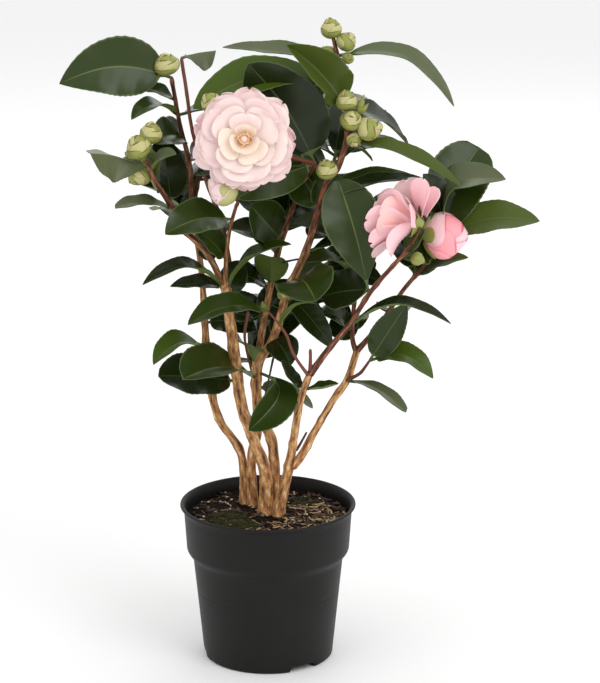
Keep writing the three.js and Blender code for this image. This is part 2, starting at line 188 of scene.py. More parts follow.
# %% [markdown]
# ## Finishes
#
# The plant's colours are plain: a leaf is one green on top, a paler olive below, with a pale rib
# and a thin pale margin, which is a painted highlight along the edge. The green on top differs
# from leaf to leaf; the darkest is also painted shade on leaves in shadow, and a grey-green is a
# painted sheen, the sky's reflection on the gloss. Those are separate materials on separate faces,
# not a painted image, so they stay crisp on any leaf. Bark, compost and pot are large single
# surfaces, and take patterns that are worked out from the object's own coordinates and, along a
# limb, from its own map.

# %% Plain finishes
# Each row: colour on screen, roughness and specular level.
PLAIN_FINISHES = {
    # The darkest green is dealt out at random among leaves, and is also set on leaves that lie in
    # shadow, where it is painted shade.
    "leaf_deep": ((28, 39, 9), 0.26, 0.3),
    "leaf_mid": ((42, 57, 12), 0.28, 0.3),
    "leaf_bright": ((64, 84, 16), 0.36, 0.24),
    "leaf_olive": ((74, 88, 30), 0.42, 0.26),
    # The grey-green leaf colour is a painted sheen: the bright sky's reflection on a glossy leaf,
    # put into its colour.
    "leaf_painted_sheen": ((88, 96, 66), 0.36, 0.3),
    "leaf_under": ((96, 114, 52), 0.55, 0.25),
    "leaf_rib": ((80, 98, 38), 0.5, 0.5),
    # The dim rib and the dim margin go on the darkest leaves, so they carry that painted shade too.
    "leaf_rib_dim": ((56, 74, 26), 0.5, 0.5),
    # The pale margin is a painted highlight: the light caught along a leaf's edge, put into its
    # colour.
    "leaf_edge": ((72, 90, 42), 0.5, 0.5),
    "leaf_edge_dim": ((50, 66, 28), 0.5, 0.5),
    "bud_green": ((142, 148, 70), 0.5, 0.5),
    "bud_cream": ((186, 182, 122), 0.5, 0.5),
    "bud_edge": ((112, 90, 50), 0.6, 0.5),
    "bud_brown": ((96, 62, 40), 0.7, 0.5),
    "petal_shell": ((238, 210, 208), 0.55, 0.5),
    "petal_blush": ((230, 192, 192), 0.55, 0.5),
    "petal_pale": ((243, 219, 213), 0.55, 0.5),
    "petal_cream": ((245, 224, 208), 0.55, 0.5),
    "petal_peach": ((243, 202, 152), 0.55, 0.5),
    "petal_rose": ((250, 204, 198), 0.55, 0.5),
    "petal_salmon": ((252, 204, 210), 0.55, 0.5),
    # The dusky pink is painted shade, for the side bloom's petals that turn away and down.
    "petal_dusk": ((226, 190, 190), 0.55, 0.5),
    "petal_pink": ((254, 164, 172), 0.5, 0.5),
    "petal_deep": ((232, 118, 138), 0.5, 0.5),
    "twig_red": ((112, 60, 40), 0.6, 0.5),
    "twig_grey": ((64, 50, 42), 0.8, 0.5),
    "moss": ((68, 66, 24), 0.9, 0.5),
    "moss_dark": ((36, 38, 16), 0.9, 0.5),
    "fibre": ((178, 148, 104), 0.8, 0.5),
    "fibre_dark": ((66, 45, 29), 0.85, 0.5),
    "grit": ((206, 198, 180), 0.8, 0.5),
}
finish_of = {name: finish(name, paint(*colour), roughness, Specular_IOR_Level=level)
             for name, (colour, roughness, level) in PLAIN_FINISHES.items()}
print(len(finish_of), "plain finishes")


# %% Patterned finishes for the pot, the compost and the bark
def node(tree, kind, **values):
    """A new shader node with its sockets set by name."""
    made = tree.nodes.new(kind)
    for socket, value in values.items():
        made.inputs[socket.replace("_", " ")].default_value = value
    return made


def ramp(tree, factor, *stops):
    """A colour ramp fed by `factor`, with stops of (place, colour)."""
    made = tree.nodes.new("ShaderNodeValToRGB")
    elements = made.color_ramp.elements
    while len(elements) < len(stops):
        elements.new(0.5)
    for element, (place, colour) in zip(elements, stops):
        element.position, element.color = place, colour
    tree.links.new(factor, made.inputs["Fac"])
    return made.outputs["Color"]


def bump(tree, height, distance, strength):
    """A bump of `distance` metres under the material's own shader."""
    made = node(tree, "ShaderNodeBump", Distance=distance, Strength=strength)
    tree.links.new(height, made.inputs["Height"])
    tree.links.new(made.outputs["Normal"], tree.nodes["Principled BSDF"].inputs["Normal"])


def noise(tree, vector, scale, detail=6.0, roughness=0.6):
    """Fractal noise over a vector, between 0 and 1."""
    made = node(tree, "ShaderNodeTexNoise", Scale=scale, Detail=detail, Roughness=roughness)
    tree.links.new(vector, made.inputs["Vector"])
    return made.outputs["Fac"]


def pot_plastic():
    """Charcoal plastic with a grain too fine to see as grains, only as a soft sheen."""
    material = finish("pot_plastic", paint(22, 21, 20), 0.5, Specular_IOR_Level=0.2)
    tree = material.node_tree
    place = tree.nodes.new("ShaderNodeTexCoord").outputs["Object"]
    grain = noise(tree, place, 900.0, 3.0)
    bump(tree, grain, 0.0002, 0.25)
    cloud = noise(tree, place, 22.0, 4.0)
    colour = ramp(tree, cloud, (0.3, paint(19, 18, 17)), (0.7, paint(25, 24, 23)))
    tree.links.new(colour, tree.nodes["Principled BSDF"].inputs["Base Color"])
    return material


def damp_compost():
    """Dark brown crumbs, with paler and near-black ones among them."""
    material = finish("damp_compost", paint(30, 19, 14), 0.95, Specular_IOR_Level=0.12)
    tree = material.node_tree
    place = tree.nodes.new("ShaderNodeTexCoord").outputs["Object"]
    crumbs = noise(tree, place, 190.0, 8.0, 0.7)
    colour = ramp(tree, crumbs, (0.34, paint(12, 7, 5)), (0.5, paint(24, 15, 11)),
                  (0.6, paint(42, 27, 19)), (0.72, paint(88, 63, 43)))
    tree.links.new(colour, tree.nodes["Principled BSDF"].inputs["Base Color"])
    bump(tree, crumbs, 0.0015, 0.9)
    return material


# Heights in metres between which tan bark turns to young red bark, for old wood that stays tan,
# for limbs that turn red on their way up, and for young boughs that are red all along.
BARK_TURNS_RED = {"bark_old": (0.8, 0.9), "bark_turning": (0.3, 0.39), "bark_young": (0.0, 0.1)}


def bark(name):
    """Tan bark with dark and cream streaks along the limb, reddish brown on the young wood above.

    The piece's own map gives the streaks: u runs round the limb and v along it, so noise that is
    stretched along v makes lengthwise fissures. Height above the floor blends old wood into young.
    """
    material = finish(name, paint(176, 128, 82), 0.75)
    tree = material.node_tree
    maps = tree.nodes.new("ShaderNodeUVMap")
    stretch = node(tree, "ShaderNodeMapping", Scale=(4.2, 0.4, 1.0))
    tree.links.new(maps.outputs["UV"], stretch.inputs["Vector"])
    streaks = noise(tree, stretch.outputs["Vector"], 1.6, 8.0, 0.65)
    old = ramp(tree, streaks, (0.36, paint(62, 38, 24)), (0.43, paint(144, 94, 54)),
               (0.54, paint(200, 148, 92)), (0.64, paint(240, 210, 164)))
    young = ramp(tree, streaks, (0.38, paint(44, 21, 14)), (0.5, paint(102, 56, 35)),
                 (0.63, paint(178, 116, 74)))
    place = tree.nodes.new("ShaderNodeTexCoord").outputs["Object"]
    split = tree.nodes.new("ShaderNodeSeparateXYZ")
    tree.links.new(place, split.inputs["Vector"])
    height = tree.nodes.new("ShaderNodeMapRange")
    low, high = BARK_TURNS_RED[name]
    height.inputs["From Min"].default_value = low
    height.inputs["From Max"].default_value = high
    tree.links.new(split.outputs["Z"], height.inputs["Value"])
    mix = tree.nodes.new("ShaderNodeMix")
    mix.data_type = "RGBA"
    tree.links.new(height.outputs["Result"], mix.inputs["Factor"])
    tree.links.new(old, mix.inputs["A"])
    tree.links.new(young, mix.inputs["B"])
    tree.links.new(mix.outputs["Result"], tree.nodes["Principled BSDF"].inputs["Base Color"])
    bump(tree, streaks, 0.0008, 0.8)
    return material


finish_of["pot_plastic"] = pot_plastic()
finish_of["damp_compost"] = damp_compost()
for name in BARK_TURNS_RED:
    finish_of[name] = bark(name)
print("patterned finishes ready")

# %% [markdown]
# ## One mesh from many small shapes
#
# A leaf, a petal, a bud scale and a pot wall are all grids: rows of points with quads between
# them. Making one object per leaf would be slow to draw and to export, so a Sheaf gathers the
# grids of a spray and turns them into a single object, with a material number on each face.


# %% Gather grids into one mesh
class Sheaf:
    """Points, quads, material numbers and map places of many grids, joined into one mesh."""

    def __init__(self):
        self.points, self.quads, self.slots, self.maps = [], [], [], []
        self.names = []
        self.count = 0

    def slot(self, name):
        """Number of a finish in this sheaf, added when it is first asked for."""
        if name not in self.names:
            self.names.append(name)
        return self.names.index(name)

    def add(self, points, quads, slots, maps=None):
        """Adds points (n, 3), quads (m, 4), a finish number per quad, and (m, 4, 2) map places."""
        self.points.append(points.reshape(-1, 3))
        self.quads.append(quads + self.count)
        self.slots.append(np.broadcast_to(slots, len(quads)))
        self.maps.append(np.zeros((len(quads), 4, 2)) if maps is None else maps)
        self.count += len(self.points[-1])

    def make(self, name, slot, *replaced):
        """The object: in metres, smooth, riding on the root, standing for the CAD nodes named."""
        points = np.concatenate(self.points) * MM
        quads = np.concatenate(self.quads)
        mesh = bpy.data.meshes.new(name)
        mesh.vertices.add(len(points))
        mesh.vertices.foreach_set("co", points.ravel())
        mesh.loops.add(quads.size)
        mesh.loops.foreach_set("vertex_index", quads.ravel())
        mesh.polygons.add(len(quads))
        mesh.polygons.foreach_set("loop_start", np.arange(len(quads)) * 4)
        mesh.polygons.foreach_set("material_index", np.concatenate(self.slots))
        mesh.polygons.foreach_set("use_smooth", np.ones(len(quads), dtype=bool))
        mesh.update(calc_edges=True)
        mesh.uv_layers.new(name="UVMap").data.foreach_set("uv", np.concatenate(self.maps).ravel())
        for finish_name in self.names:
            mesh.materials.append(finish_of[finish_name])
        thing = bpy.data.objects.new(name, mesh)
        bpy.context.collection.objects.link(thing)
        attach(thing, "root")
        if replaced:
            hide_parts(*replaced)
        return thing


def tube_quads(rings, sides):
    """Quads of a closed tube of `rings` rings of `sides` points, an even number.

    The wall joins each ring to the next. Each end is closed by strips that join every point to
    the one across the ring.
    """
    ring, side = np.meshgrid(np.arange(rings - 1), np.arange(sides), indexing="ij")
    a = ring * sides + side
    b = ring * sides + (side + 1) % sides
    wall = np.stack([a, b, b + sides, a + sides], -1).reshape(-1, 4)
    i = np.arange(sides // 2 - 1)
    foot = np.stack([i, sides - 1 - i, sides - 2 - i, i + 1], -1)
    return np.concatenate([wall, foot, foot[:, ::-1] + (rings - 1) * sides])


def sheet_quads(rows, columns):
    """Quads of a closed sheet: an upper grid, an under grid turned over, and a rim between."""
    row, column = np.meshgrid(np.arange(rows - 1), np.arange(columns - 1), indexing="ij")
    a = (row * columns + column).ravel()
    upper = np.stack([a, a + columns, a + columns + 1, a + 1], -1)
    under = upper[:, ::-1] + rows * columns
    rim = np.concatenate([
        np.arange(rows - 1) * columns,
        (rows - 1) * columns + np.arange(columns - 1),
        np.arange(rows - 1, 0, -1) * columns + columns - 1,
        np.arange(columns - 1, 0, -1),
    ])
    nxt = np.roll(rim, -1)
    wall = np.stack([rim, rim + rows * columns, nxt + rows * columns, nxt], -1)
    return np.concatenate([upper, under, wall])


def unit(vectors):
    """Vectors scaled to length 1."""
    return vectors / np.linalg.norm(vectors, axis=-1, keepdims=True)


def sheet_points(grid, over, under):
    """Points of a closed sheet round a grid (rows, columns, 3).

    The grid's normal at each point is the cross product of its steps along the rows and the
    columns. The upper side lies `over` along the normal and the under side `under` against it.
    """
    normal = unit(np.cross(np.gradient(grid, axis=0), np.gradient(grid, axis=1)))
    upper = grid + normal * np.asarray(over)[..., None]
    lower = grid - normal * np.asarray(under)[..., None]
    return np.concatenate([upper.reshape(-1, 3), lower.reshape(-1, 3)])


print("grid helpers ready")

# %% [markdown]
# ## The pot
#
# A nursery pot is one thin moulding: a rolled lip, a deep collar that pots nest by, a rounded
# step, a tapering body with one faint witness line, and a foot ring with drain notches. It could
# be a CAD lathe with bevels. Here its outline is written as radius against height and carried
# round the axis, which keeps the step a true curve and the wall a true thickness.

# %% Pot outline
COLLAR_FOOT = 97.0
BODY_TOP = 88.0
BODY_TOP_RADIUS = 64.2
BODY_FOOT_RADIUS = 55.3
COLLAR_FOOT_RADIUS = 69.6
COLLAR_TOP_RADIUS = 72.2
WALL = 1.4
FLOOR_RISE = 6.0
LIP_ROLL = 1.5
NOTCH_HEIGHT = 5.0
NOTCH_WIDTH = 24.0
NOTCH_TURNS = (34, 154, 274)     # degrees from -Y towards +X
WITNESS_LINE = 61.0              # height of the faint groove round the body
GROOVE_DEPTH = 0.22
GROOVE_REACH = 0.7
PAD_RADIUS = 12.0                # of the flat pad in the middle of the underside
FOOT_RING = 9.0                  # width of the ring that the pot stands on
lip_radius, pot_height = pot_high[0], pot_high[2]


def outer_radius(height):
    """Radius of the outer wall: two straight tapers joined by a step, a quarter sine to a power."""
    body = BODY_FOOT_RADIUS + (BODY_TOP_RADIUS - BODY_FOOT_RADIUS) * height / BODY_TOP
    rise = (height - COLLAR_FOOT) / (pot_height - COLLAR_FOOT)
    collar = COLLAR_FOOT_RADIUS + (COLLAR_TOP_RADIUS - COLLAR_FOOT_RADIUS) * rise
    share = np.clip((height - BODY_TOP) / (COLLAR_FOOT - BODY_TOP), 0, 1)
    step = np.sin(0.5 * np.pi * share) ** 1.3
    groove = GROOVE_DEPTH * np.exp(-((height - WITNESS_LINE) / GROOVE_REACH) ** 2)
    return body + (collar - body) * step - groove


def pot_outline():
    """Closed outline of the pot's wall, outside up and inside down, as (radius, height) rows."""
    up = np.concatenate([np.linspace(2.0, 59, 12), np.linspace(59.6, 62.6, 9),
                         np.linspace(64, BODY_TOP, 8), np.linspace(89, COLLAR_FOOT, 9),
                         np.linspace(99, pot_height - 2 * LIP_ROLL - 0.4, 8)])
    outside = np.column_stack([outer_radius(up), up])
    turn = np.radians(np.linspace(-90, 110, 11))
    lip = np.column_stack([lip_radius - LIP_ROLL + LIP_ROLL * np.cos(turn),
                           pot_height - LIP_ROLL + LIP_ROLL * np.sin(turn)])
    down = np.concatenate([np.linspace(pot_height - 2.5, COLLAR_FOOT, 6),
                           np.linspace(94, BODY_TOP, 4), np.linspace(80, FLOOR_RISE + WALL, 5)])
    inside = np.column_stack([outer_radius(down) - WALL, down])
    middle = np.array([[0.6, FLOOR_RISE + WALL]])
    ring_inner = BODY_FOOT_RADIUS - FOOT_RING
    under = np.array([[0.3, 0], [PAD_RADIUS - 0.6, 0], [PAD_RADIUS, 0.6],
                      [PAD_RADIUS, FLOOR_RISE], [ring_inner, FLOOR_RISE],
                      [ring_inner, 0.5], [ring_inner + 0.5, 0], [BODY_FOOT_RADIUS - 2, 0],
                      [BODY_FOOT_RADIUS - 0.9, 0.4], [BODY_FOOT_RADIUS, 1.2]])
    return np.concatenate([under, outside, lip, inside, middle])


# %% Make the pot
POT_SEGMENTS = 144


def make_pot():
    """The outline carried round the axis. Foot points under a notch are lifted to its height."""
    outline = pot_outline()
    half_notch = math.degrees(0.5 * NOTCH_WIDTH / BODY_FOOT_RADIUS)
    turn = np.linspace(0, 360, POT_SEGMENTS, endpoint=False)
    turns = np.radians(turn)[None, :]
    radius = np.repeat(outline[:, :1], POT_SEGMENTS, axis=1)
    height = np.repeat(outline[:, 1:], POT_SEGMENTS, axis=1)
    for notch in NOTCH_TURNS:
        away = np.abs((turn - notch + 180) % 360 - 180)
        lift = NOTCH_HEIGHT * np.clip((half_notch - away) / 1.5 + 0.5, 0, 1)
        foot = (outline[:, 0] > 30) & (outline[:, 1] < NOTCH_HEIGHT)
        height = np.where(foot[:, None], np.maximum(height, lift[None, :]), height)
    points = np.stack([radius * np.sin(turns), -radius * np.cos(turns), height], -1)
    sheaf = Sheaf()
    rows = len(outline)
    sheaf.add(points, tube_quads(rows, POT_SEGMENTS), sheaf.slot("pot_plastic"))
    return sheaf.make("nursery_pot", "pot", "pot")


pot = make_pot()
print("pot:", len(pot.data.polygons), "faces")

# %% [markdown]
# ## The compost
#
# Bark compost is a rough dark surface with crumbs, straw-coloured fibres, pale grit and, on the
# left, a little moss. One displaced plane alone would look like painted mud, so the surface gets
# its relief from layered random heights, and the fibres, chips and moss are small sheets that
# lie on it.


# %% Random heights
def corner_net(seed):
    """A square of random numbers between -1 and 1, used over and over as a net of corners."""
    return np.random.default_rng(seed).uniform(-1, 1, (64, 64))


def lumpiness(x, y, cell, seed):
    """Smooth random heights: the net's corners, `cell` mm apart, blended by an S-curve between."""
    net = corner_net(seed)
    column, row = np.floor(x / cell).astype(int), np.floor(y / cell).astype(int)
    u, v = x / cell - column, y / cell - row
    u, v = u * u * (3 - 2 * u), v * v * (3 - 2 * v)
    corner = [[net[(row + j) % 64, (column + i) % 64] for i in (0, 1)] for j in (0, 1)]
    low = corner[0][0] * (1 - u) + corner[0][1] * u
    high = corner[1][0] * (1 - u) + corner[1][1] * u
    return low * (1 - v) + high * v


SOIL_EDGE = 124.0
SOIL_MIDDLE = float(soil_high[2])
SOIL_LEVEL_RADIUS = 38.0
SOIL_DEPTH = 12.0                # of the visible body of compost, under its edge
SOIL_RINGS, SOIL_SIDES = 70, 150
# Lumps of three sizes: height and spacing in mm, and the seed of each. The surface is lowered by
# SOIL_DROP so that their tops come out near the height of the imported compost.
LUMPS = ((1.5, 13, 3), (1.1, 5, 4), (0.8, 2.3, 5))
SOIL_DROP = 0.6
soil_radius = float(outer_radius(np.array(SOIL_EDGE))) - WALL - 0.1


def soil_height(x, y):
    """Compost height: level in the middle, falling to the wall, with three sizes of lumps."""
    out = np.clip((np.hypot(x, y) - SOIL_LEVEL_RADIUS) / (soil_radius - SOIL_LEVEL_RADIUS), 0, 1)
    base = SOIL_MIDDLE - (SOIL_MIDDLE - SOIL_EDGE) * out
    lumps = sum(tall * lumpiness(x, y, cell, seed) for tall, cell, seed in LUMPS)
    return base + lumps - SOIL_DROP


def make_compost():
    """Rings from the middle out to the wall, dropped to the floor at the rim to close the body."""
    radius = np.concatenate([np.linspace(0.4, soil_radius, SOIL_RINGS), [soil_radius - 1.2, 1.0]])
    turn = np.linspace(0, 2 * np.pi, SOIL_SIDES, endpoint=False)
    x, y = radius[:, None] * np.cos(turn), radius[:, None] * np.sin(turn)
    z = soil_height(x, y)
    z[SOIL_RINGS:] = SOIL_EDGE - SOIL_DEPTH
    sheaf = Sheaf()
    points = np.stack([x, y, z], -1)[::-1]
    sheaf.add(points, tube_quads(SOIL_RINGS + 2, SOIL_SIDES), sheaf.slot("damp_compost"))
    return sheaf.make("compost_surface", "compost", "compost")


compost = make_compost()
print("compost:", len(compost.data.polygons), "faces")

# %% Fibres, chips and moss on the compost
LITTER_SEED = 21
LITTER_TILT = 0.35               # spread of the strips' tilt, in radians
# Straw fibres thickest to the right and in front, dark chips everywhere, grit here and there.
# Each row: count, middle, spread, least and most length and width, finishes.
LITTER = [
    (150, (42, -12), 30, ((5, 15), (0.7, 1.5)), ("fibre", "fibre_dark")),
    (80, (10, -48), 26, ((4, 12), (0.7, 1.6)), ("fibre", "fibre_dark")),
    (260, (0, 0), 68, ((3, 10), (0.8, 2.2)), ("fibre_dark", "twig_grey")),
    (110, (0, 0), 68, ((3, 9), (0.5, 1.1)), ("fibre", "twig_red")),
    (60, (0, 0), 66, ((1.2, 2.4), (1, 2)), ("grit",)),
]
# Each row: middle of a patch of moss, its spread and its number of tufts.
MOSS_PATCHES = [((-34, -22), 19, 240), ((-16, -40), 12, 90), ((30, 24), 12, 60)]
BLADES_PER_TUFT = 8


def litter(sheaf, count, centre, spread, sizes, names, rng):
    """Small bent strips on the compost: `sizes` are (least, most) length and width in mm.

    A strip is a grid of five rows by two columns. Its rows follow a short arc at a random heading
    and tilt, and its columns lie to either side.
    """
    length = rng.uniform(*sizes[0], count)
    width = rng.uniform(*sizes[1], count)
    heading = rng.uniform(0, 2 * np.pi, count)
    tilt = rng.normal(0, LITTER_TILT, count)
    bend = rng.uniform(-0.5, 0.5, count)
    away = spread * np.sqrt(rng.uniform(0, 1, count))
    angle = rng.uniform(0, 2 * np.pi, count)
    x = centre[0] + away * np.cos(angle)
    y = centre[1] + away * np.sin(angle)
    inside = np.hypot(x, y) < soil_radius - 4
    share = np.linspace(-0.5, 0.5, 5)
    for i in np.flatnonzero(inside):
        way = heading[i] + bend[i] * share * 2
        line = np.stack([x[i] + length[i] * share * np.cos(way),
                         y[i] + length[i] * share * np.sin(way),
                         0.35 * length[i] * share * np.sin(tilt[i])], -1)
        side = np.stack([-np.sin(way), np.cos(way), np.full(5, 0.4 * np.sin(tilt[i] * 3))], -1)
        grid = line[:, None] + side[:, None] * (0.5 * width[i] * np.array([-1, 1]))[None, :, None]
        ground = soil_height(x[i], y[i]) + 0.5 + rng.uniform(0, 0.6)
        grid[..., 2] += ground
        name = names[rng.integers(len(names))]
        sheaf.add(sheet_points(grid, 0.2, 0.2), sheet_quads(5, 2), sheaf.slot(name))


def make_litter():
    """Every row of litter, joined into one piece."""
    rng = np.random.default_rng(LITTER_SEED)
    sheaf = Sheaf()
    for row in LITTER:
        litter(sheaf, *row, rng)
    return sheaf.make("compost_fibres", "compost")


def make_moss():
    """Moss in patches: each tuft is a few short blades that lean out from one foot."""
    rng = np.random.default_rng(LITTER_SEED + 1)
    sheaf = Sheaf()
    share = np.linspace(0, 1, 4)
    for centre, spread, tufts in MOSS_PATCHES:
        away = spread * np.sqrt(rng.uniform(0, 1, tufts))
        angle = rng.uniform(0, 2 * np.pi, tufts)
        for x, y in zip(centre[0] + away * np.cos(angle), centre[1] + away * np.sin(angle)):
            tall = rng.uniform(1.6, 3.6)
            for heading in rng.uniform(0, 2 * np.pi, BLADES_PER_TUFT):
                lean = rng.uniform(0.3, 1.1)
                way = np.array([np.cos(heading), np.sin(heading), 0])
                line = (np.array([x, y, soil_height(x, y) - 0.2])
                        + way * (tall * lean * share ** 2)[:, None]
                        + np.array([0, 0, 1]) * (tall * share)[:, None])
                side = np.array([-way[1], way[0], 0])
                half = 0.45 * (1 - 0.85 * share)
                grid = line[:, None] + side * (half[:, None] * np.array([-1, 1]))[..., None]
                name = "moss" if rng.random() < 0.6 else "moss_dark"
                sheaf.add(sheet_points(grid, 0.12, 0.12), sheet_quads(4, 2), sheaf.slot(name))
    return sheaf.make("compost_moss", "compost")


fibres, moss = make_litter(), make_moss()
print("litter:", len(fibres.data.polygons), "faces; moss:", len(moss.data.polygons), "faces")

# %% [markdown]
# ## Stems and boughs
#
# Each limb follows its own knots by a smooth curve and tapers from foot to tip. Old camellia wood
# isn't a clean pipe: it swells at every old leaf joint, has fine lengthwise fissures and flares
# where it leaves the compost. A bare tube with a bump map keeps a ruler-straight outline, so here
# the relief is in the radius itself, as a function of the way round and the way along.

# %% Knots of the limbs
# Each limb and twig: its radius at the foot and at the tip, and the knots it passes.
LIMBS = {
    "stem_main": ((5.2, 4.1), [(-2, 0, 127), (-3, -3, 166), (-13, -7, 196), (-22, -9, 225),
        (-27, -9, 264), (-35, -6, 327)]),
    "stem_centre": ((4.6, 1.7), [(7, 14, 127), (3, 14, 187), (-5, 16, 204), (-9, 16, 222),
        (-7, 14, 256), (4, 12, 276), (17, 2, 320), (34, -12, 364), (50, -22, 421), (59, -21, 433),
        (67, -14, 466), (64, -4, 493), (54, 4, 537)]),
    "stem_left": ((3.9, 1.6), [(-20, 26, 127), (-24, 28, 172), (-41, 31, 198), (-49, 35, 225),
        (-57, 42, 332), (-63, 38, 381), (-66, 32, 427), (-72, 26, 455), (-78, 2, 502)]),
    "stem_back": ((4.2, 1.8), [(-13, 20, 127), (-14, 22, 170), (-9, 25, 192), (-11, 28, 241),
        (-6, 30, 271), (8, 28, 346), (19, 20, 381), (28, 9, 408), (40, -4, 431)]),
    "stem_right": ((4.4, 2.7), [(9, -4, 127), (18, -8, 169), (28, -18, 232), (36, -24, 258)]),
    "bough_left": ((2.9, 1.8), [(-35, -6, 324), (-47, 0, 349), (-60, 6, 364), (-67, 4, 371),
        (-78, -12, 396), (-91, -34, 424), (-97, -42, 442)]),
    "bough_pink_bud": ((2.1, 1.4), [(-35, -6, 324), (-34, -10, 349), (-31, -20, 377),
        (-24, -42, 406)]),
    "bough_side_bloom": ((2.6, 1.6), [(35, -23, 255), (53, -30, 282), (68, -36, 302),
        (86, -46, 334), (120, -62, 378)]),
    "bough_right": ((3.4, 2.8), [(20, -9, 170), (28, -2, 177), (38, 4, 194), (57, 13, 225),
        (67, 16, 239), (76, 21, 265)]),
    "bough_half_bloom": ((2.3, 1.5), [(75, 21, 263), (93, 16, 286), (115, 4, 323), (137, -8, 354),
        (145, -5, 370)]),
    "bough_right_inner": ((2, 1.4), [(75, 21, 263), (72, 24, 274), (76, 40, 322), (78, 44, 337)]),
    "bough_back_left": ((2.2, 1.3), [(-63, 37, 385), (-58, 62, 408), (-50, 84, 430),
        (-42, 98, 452)]),
    "bough_back_middle": ((2.2, 1.3), [(7, 28, 342), (12, 52, 362), (18, 78, 380),
        (22, 100, 396)]),
    "bough_back_right": ((2.1, 1.3), [(42, -17, 391), (50, 12, 410), (58, 50, 428),
        (66, 84, 440)]),
    "bough_back_low": ((1.8, 1.2), [(77, 42, 332), (80, 66, 344), (82, 92, 354)]),
}
TWIGS = {
    "twig_low_leaf": ((1.25, 0.9), [(34, -26, 256), (22, -28, 275), (15, -30, 294),
        (1, -32, 313)]),
    "twig_right_low": ((1.6, 1.1), [(67, 14, 240), (77, 8, 247), (83, 2, 256), (86, -2, 262)]),
    "twig_pink_calyx": ((1.2, 1.0), [(-24, -42, 404), (-23, -47, 408), (-25, -51, 412)]),
    "twig_front_bloom": ((1.8, 1.6), [(40, -4, 431), (14, -24, 443), (-10, -44, 460),
        (-17, -56, 465)]),
    "twig_half_bloom": ((1.7, 1.5), [(144, -6, 367), (140, -9, 371), (136, -12, 372)]),
    "twig_side_bloom": ((1.8, 1.6), [(119, -62, 376), (123, -63, 385), (125, -64, 391)]),
    "twig_young_left": ((1.3, 0.8), [(-16, -4, 305), (-19, -3, 284), (-14, 12, 249)]),
    "twig_dead_low": ((0.9, 0.7), [(5, 12, 261), (1, 13, 242), (-3, 13, 224)]),
    "twig_dead_middle": ((0.9, 0.6), [(13, 10, 344), (26, 1, 349), (38, -8, 352)]),
    "stub_right": ((1.6, 1.2), [(36, -24, 257), (36, -27, 268), (36, -28, 279)]),
    "twig_bud_cluster": ((1.2, 0.9), [(-90, -33, 422), (-94, -28, 428), (-98, -24, 434)]),
    "stub_low": ((1.0, 0.8), [(24, -8, 184), (28, -8, 191), (33, -9, 201)]),
    "twig_behind_bloom": ((1.9, 1.4), [(-30, 10, 330), (-36, 8, 370), (-43, 2, 395), (-52, 2, 421),
        (-62, 4, 460), (-66, 6, 490), (-70, 8, 517)]),
}
# These twigs are grey, and the rest are red.
DEAD_TWIGS = ("twig_dead_low", "twig_dead_middle", "stub_low")
print(len(LIMBS), "limbs and", len(TWIGS), "twigs")


# %% Curve, rings and bark relief
CURVE_STEPS = 24                 # points worked out between two knots
JOINT_GAP = (16, 34)             # least and most mm between one old leaf joint and the next
JOINT_SWELL = (0.1, 0.36)        # least and most that a joint adds to the radius, as a share
END_PINCH = 0.72                 # the first and last rings are drawn in by this much
FLARE_REACH = 11.0               # mm along a limb over which its foot's flare dies away


def smooth_line(knots, step):
    """Points `step` mm apart on the centripetal Catmull-Rom curve through the knots.

    Between two knots the curve is a cubic. Its slopes at the knots come from the neighbouring
    chords, each weighted by the square root of its length, so that it doesn't overshoot.
    """
    knots = np.asarray(knots, float)
    knots = np.concatenate([[2 * knots[0] - knots[1]], knots, [2 * knots[-1] - knots[-2]]])
    gap = np.sqrt(np.linalg.norm(np.diff(knots, axis=0), axis=1))[:, None]
    before, start, end, after = knots[:-3], knots[1:-2], knots[2:-1], knots[3:]
    g0, g1, g2 = gap[:-2], gap[1:-1], gap[2:]
    leave = ((start - before) / g0 - (end - before) / (g0 + g1) + (end - start) / g1) * g1
    arrive = ((end - start) / g1 - (after - start) / (g1 + g2) + (after - end) / g2) * g1
    t = np.linspace(0, 1, CURVE_STEPS, endpoint=False)[None, :, None]
    curve = (start[:, None] + leave[:, None] * t
             + (3 * (end - start) - 2 * leave - arrive)[:, None] * t ** 2
             + (2 * (start - end) + leave + arrive)[:, None] * t ** 3).reshape(-1, 3)
    curve = np.concatenate([curve, knots[-2:-1]])
    far = np.concatenate([[0], np.cumsum(np.linalg.norm(np.diff(curve, axis=0), axis=1))])
    marks = np.linspace(0, far[-1], max(4, int(far[-1] / step)) + 1)
    return np.stack([np.interp(marks, far, curve[:, i]) for i in range(3)], -1), marks


def relief(marks, turn, flare, rng):
    """Factor on the radius at each mark along and each turn round.

    It is one, plus the foot's flare with three soft root lobes, plus a one-sided swelling at every
    old leaf joint, plus fissures: sine waves round the limb whose phase drifts along it.
    """
    along, round_ = marks[:, None], turn[None, :]
    lobes = 1 + 0.35 * np.cos(3 * round_ + rng.uniform(0, 6))
    flared = 1 + flare * np.exp(-along / FLARE_REACH) * lobes
    joints = np.cumsum(rng.uniform(*JOINT_GAP, int(marks[-1] / JOINT_GAP[0]) + 1))
    swelling = np.zeros_like(flared)
    for joint in joints:
        reach = rng.uniform(2.2, 4.2)
        side = rng.uniform(0, 2 * np.pi)
        swelling += (rng.uniform(*JOINT_SWELL) * np.exp(-((along - joint) / reach) ** 2)
                     * (0.55 + 0.45 * np.cos(round_ - side)))
    drift = rng.uniform(0, 6, 4)
    fissures = (0.055 * np.sin(2 * round_ + along / 23 + drift[0])
                + 0.05 * np.sin(5 * round_ + 1.5 * np.sin(along / 19) + drift[1])
                + 0.04 * np.sin(9 * round_ - 1.2 * np.sin(along / 13) + drift[2])
                + 0.025 * np.sin(3 * round_ + along / 2.9 + drift[3]))
    return flared + swelling + fissures


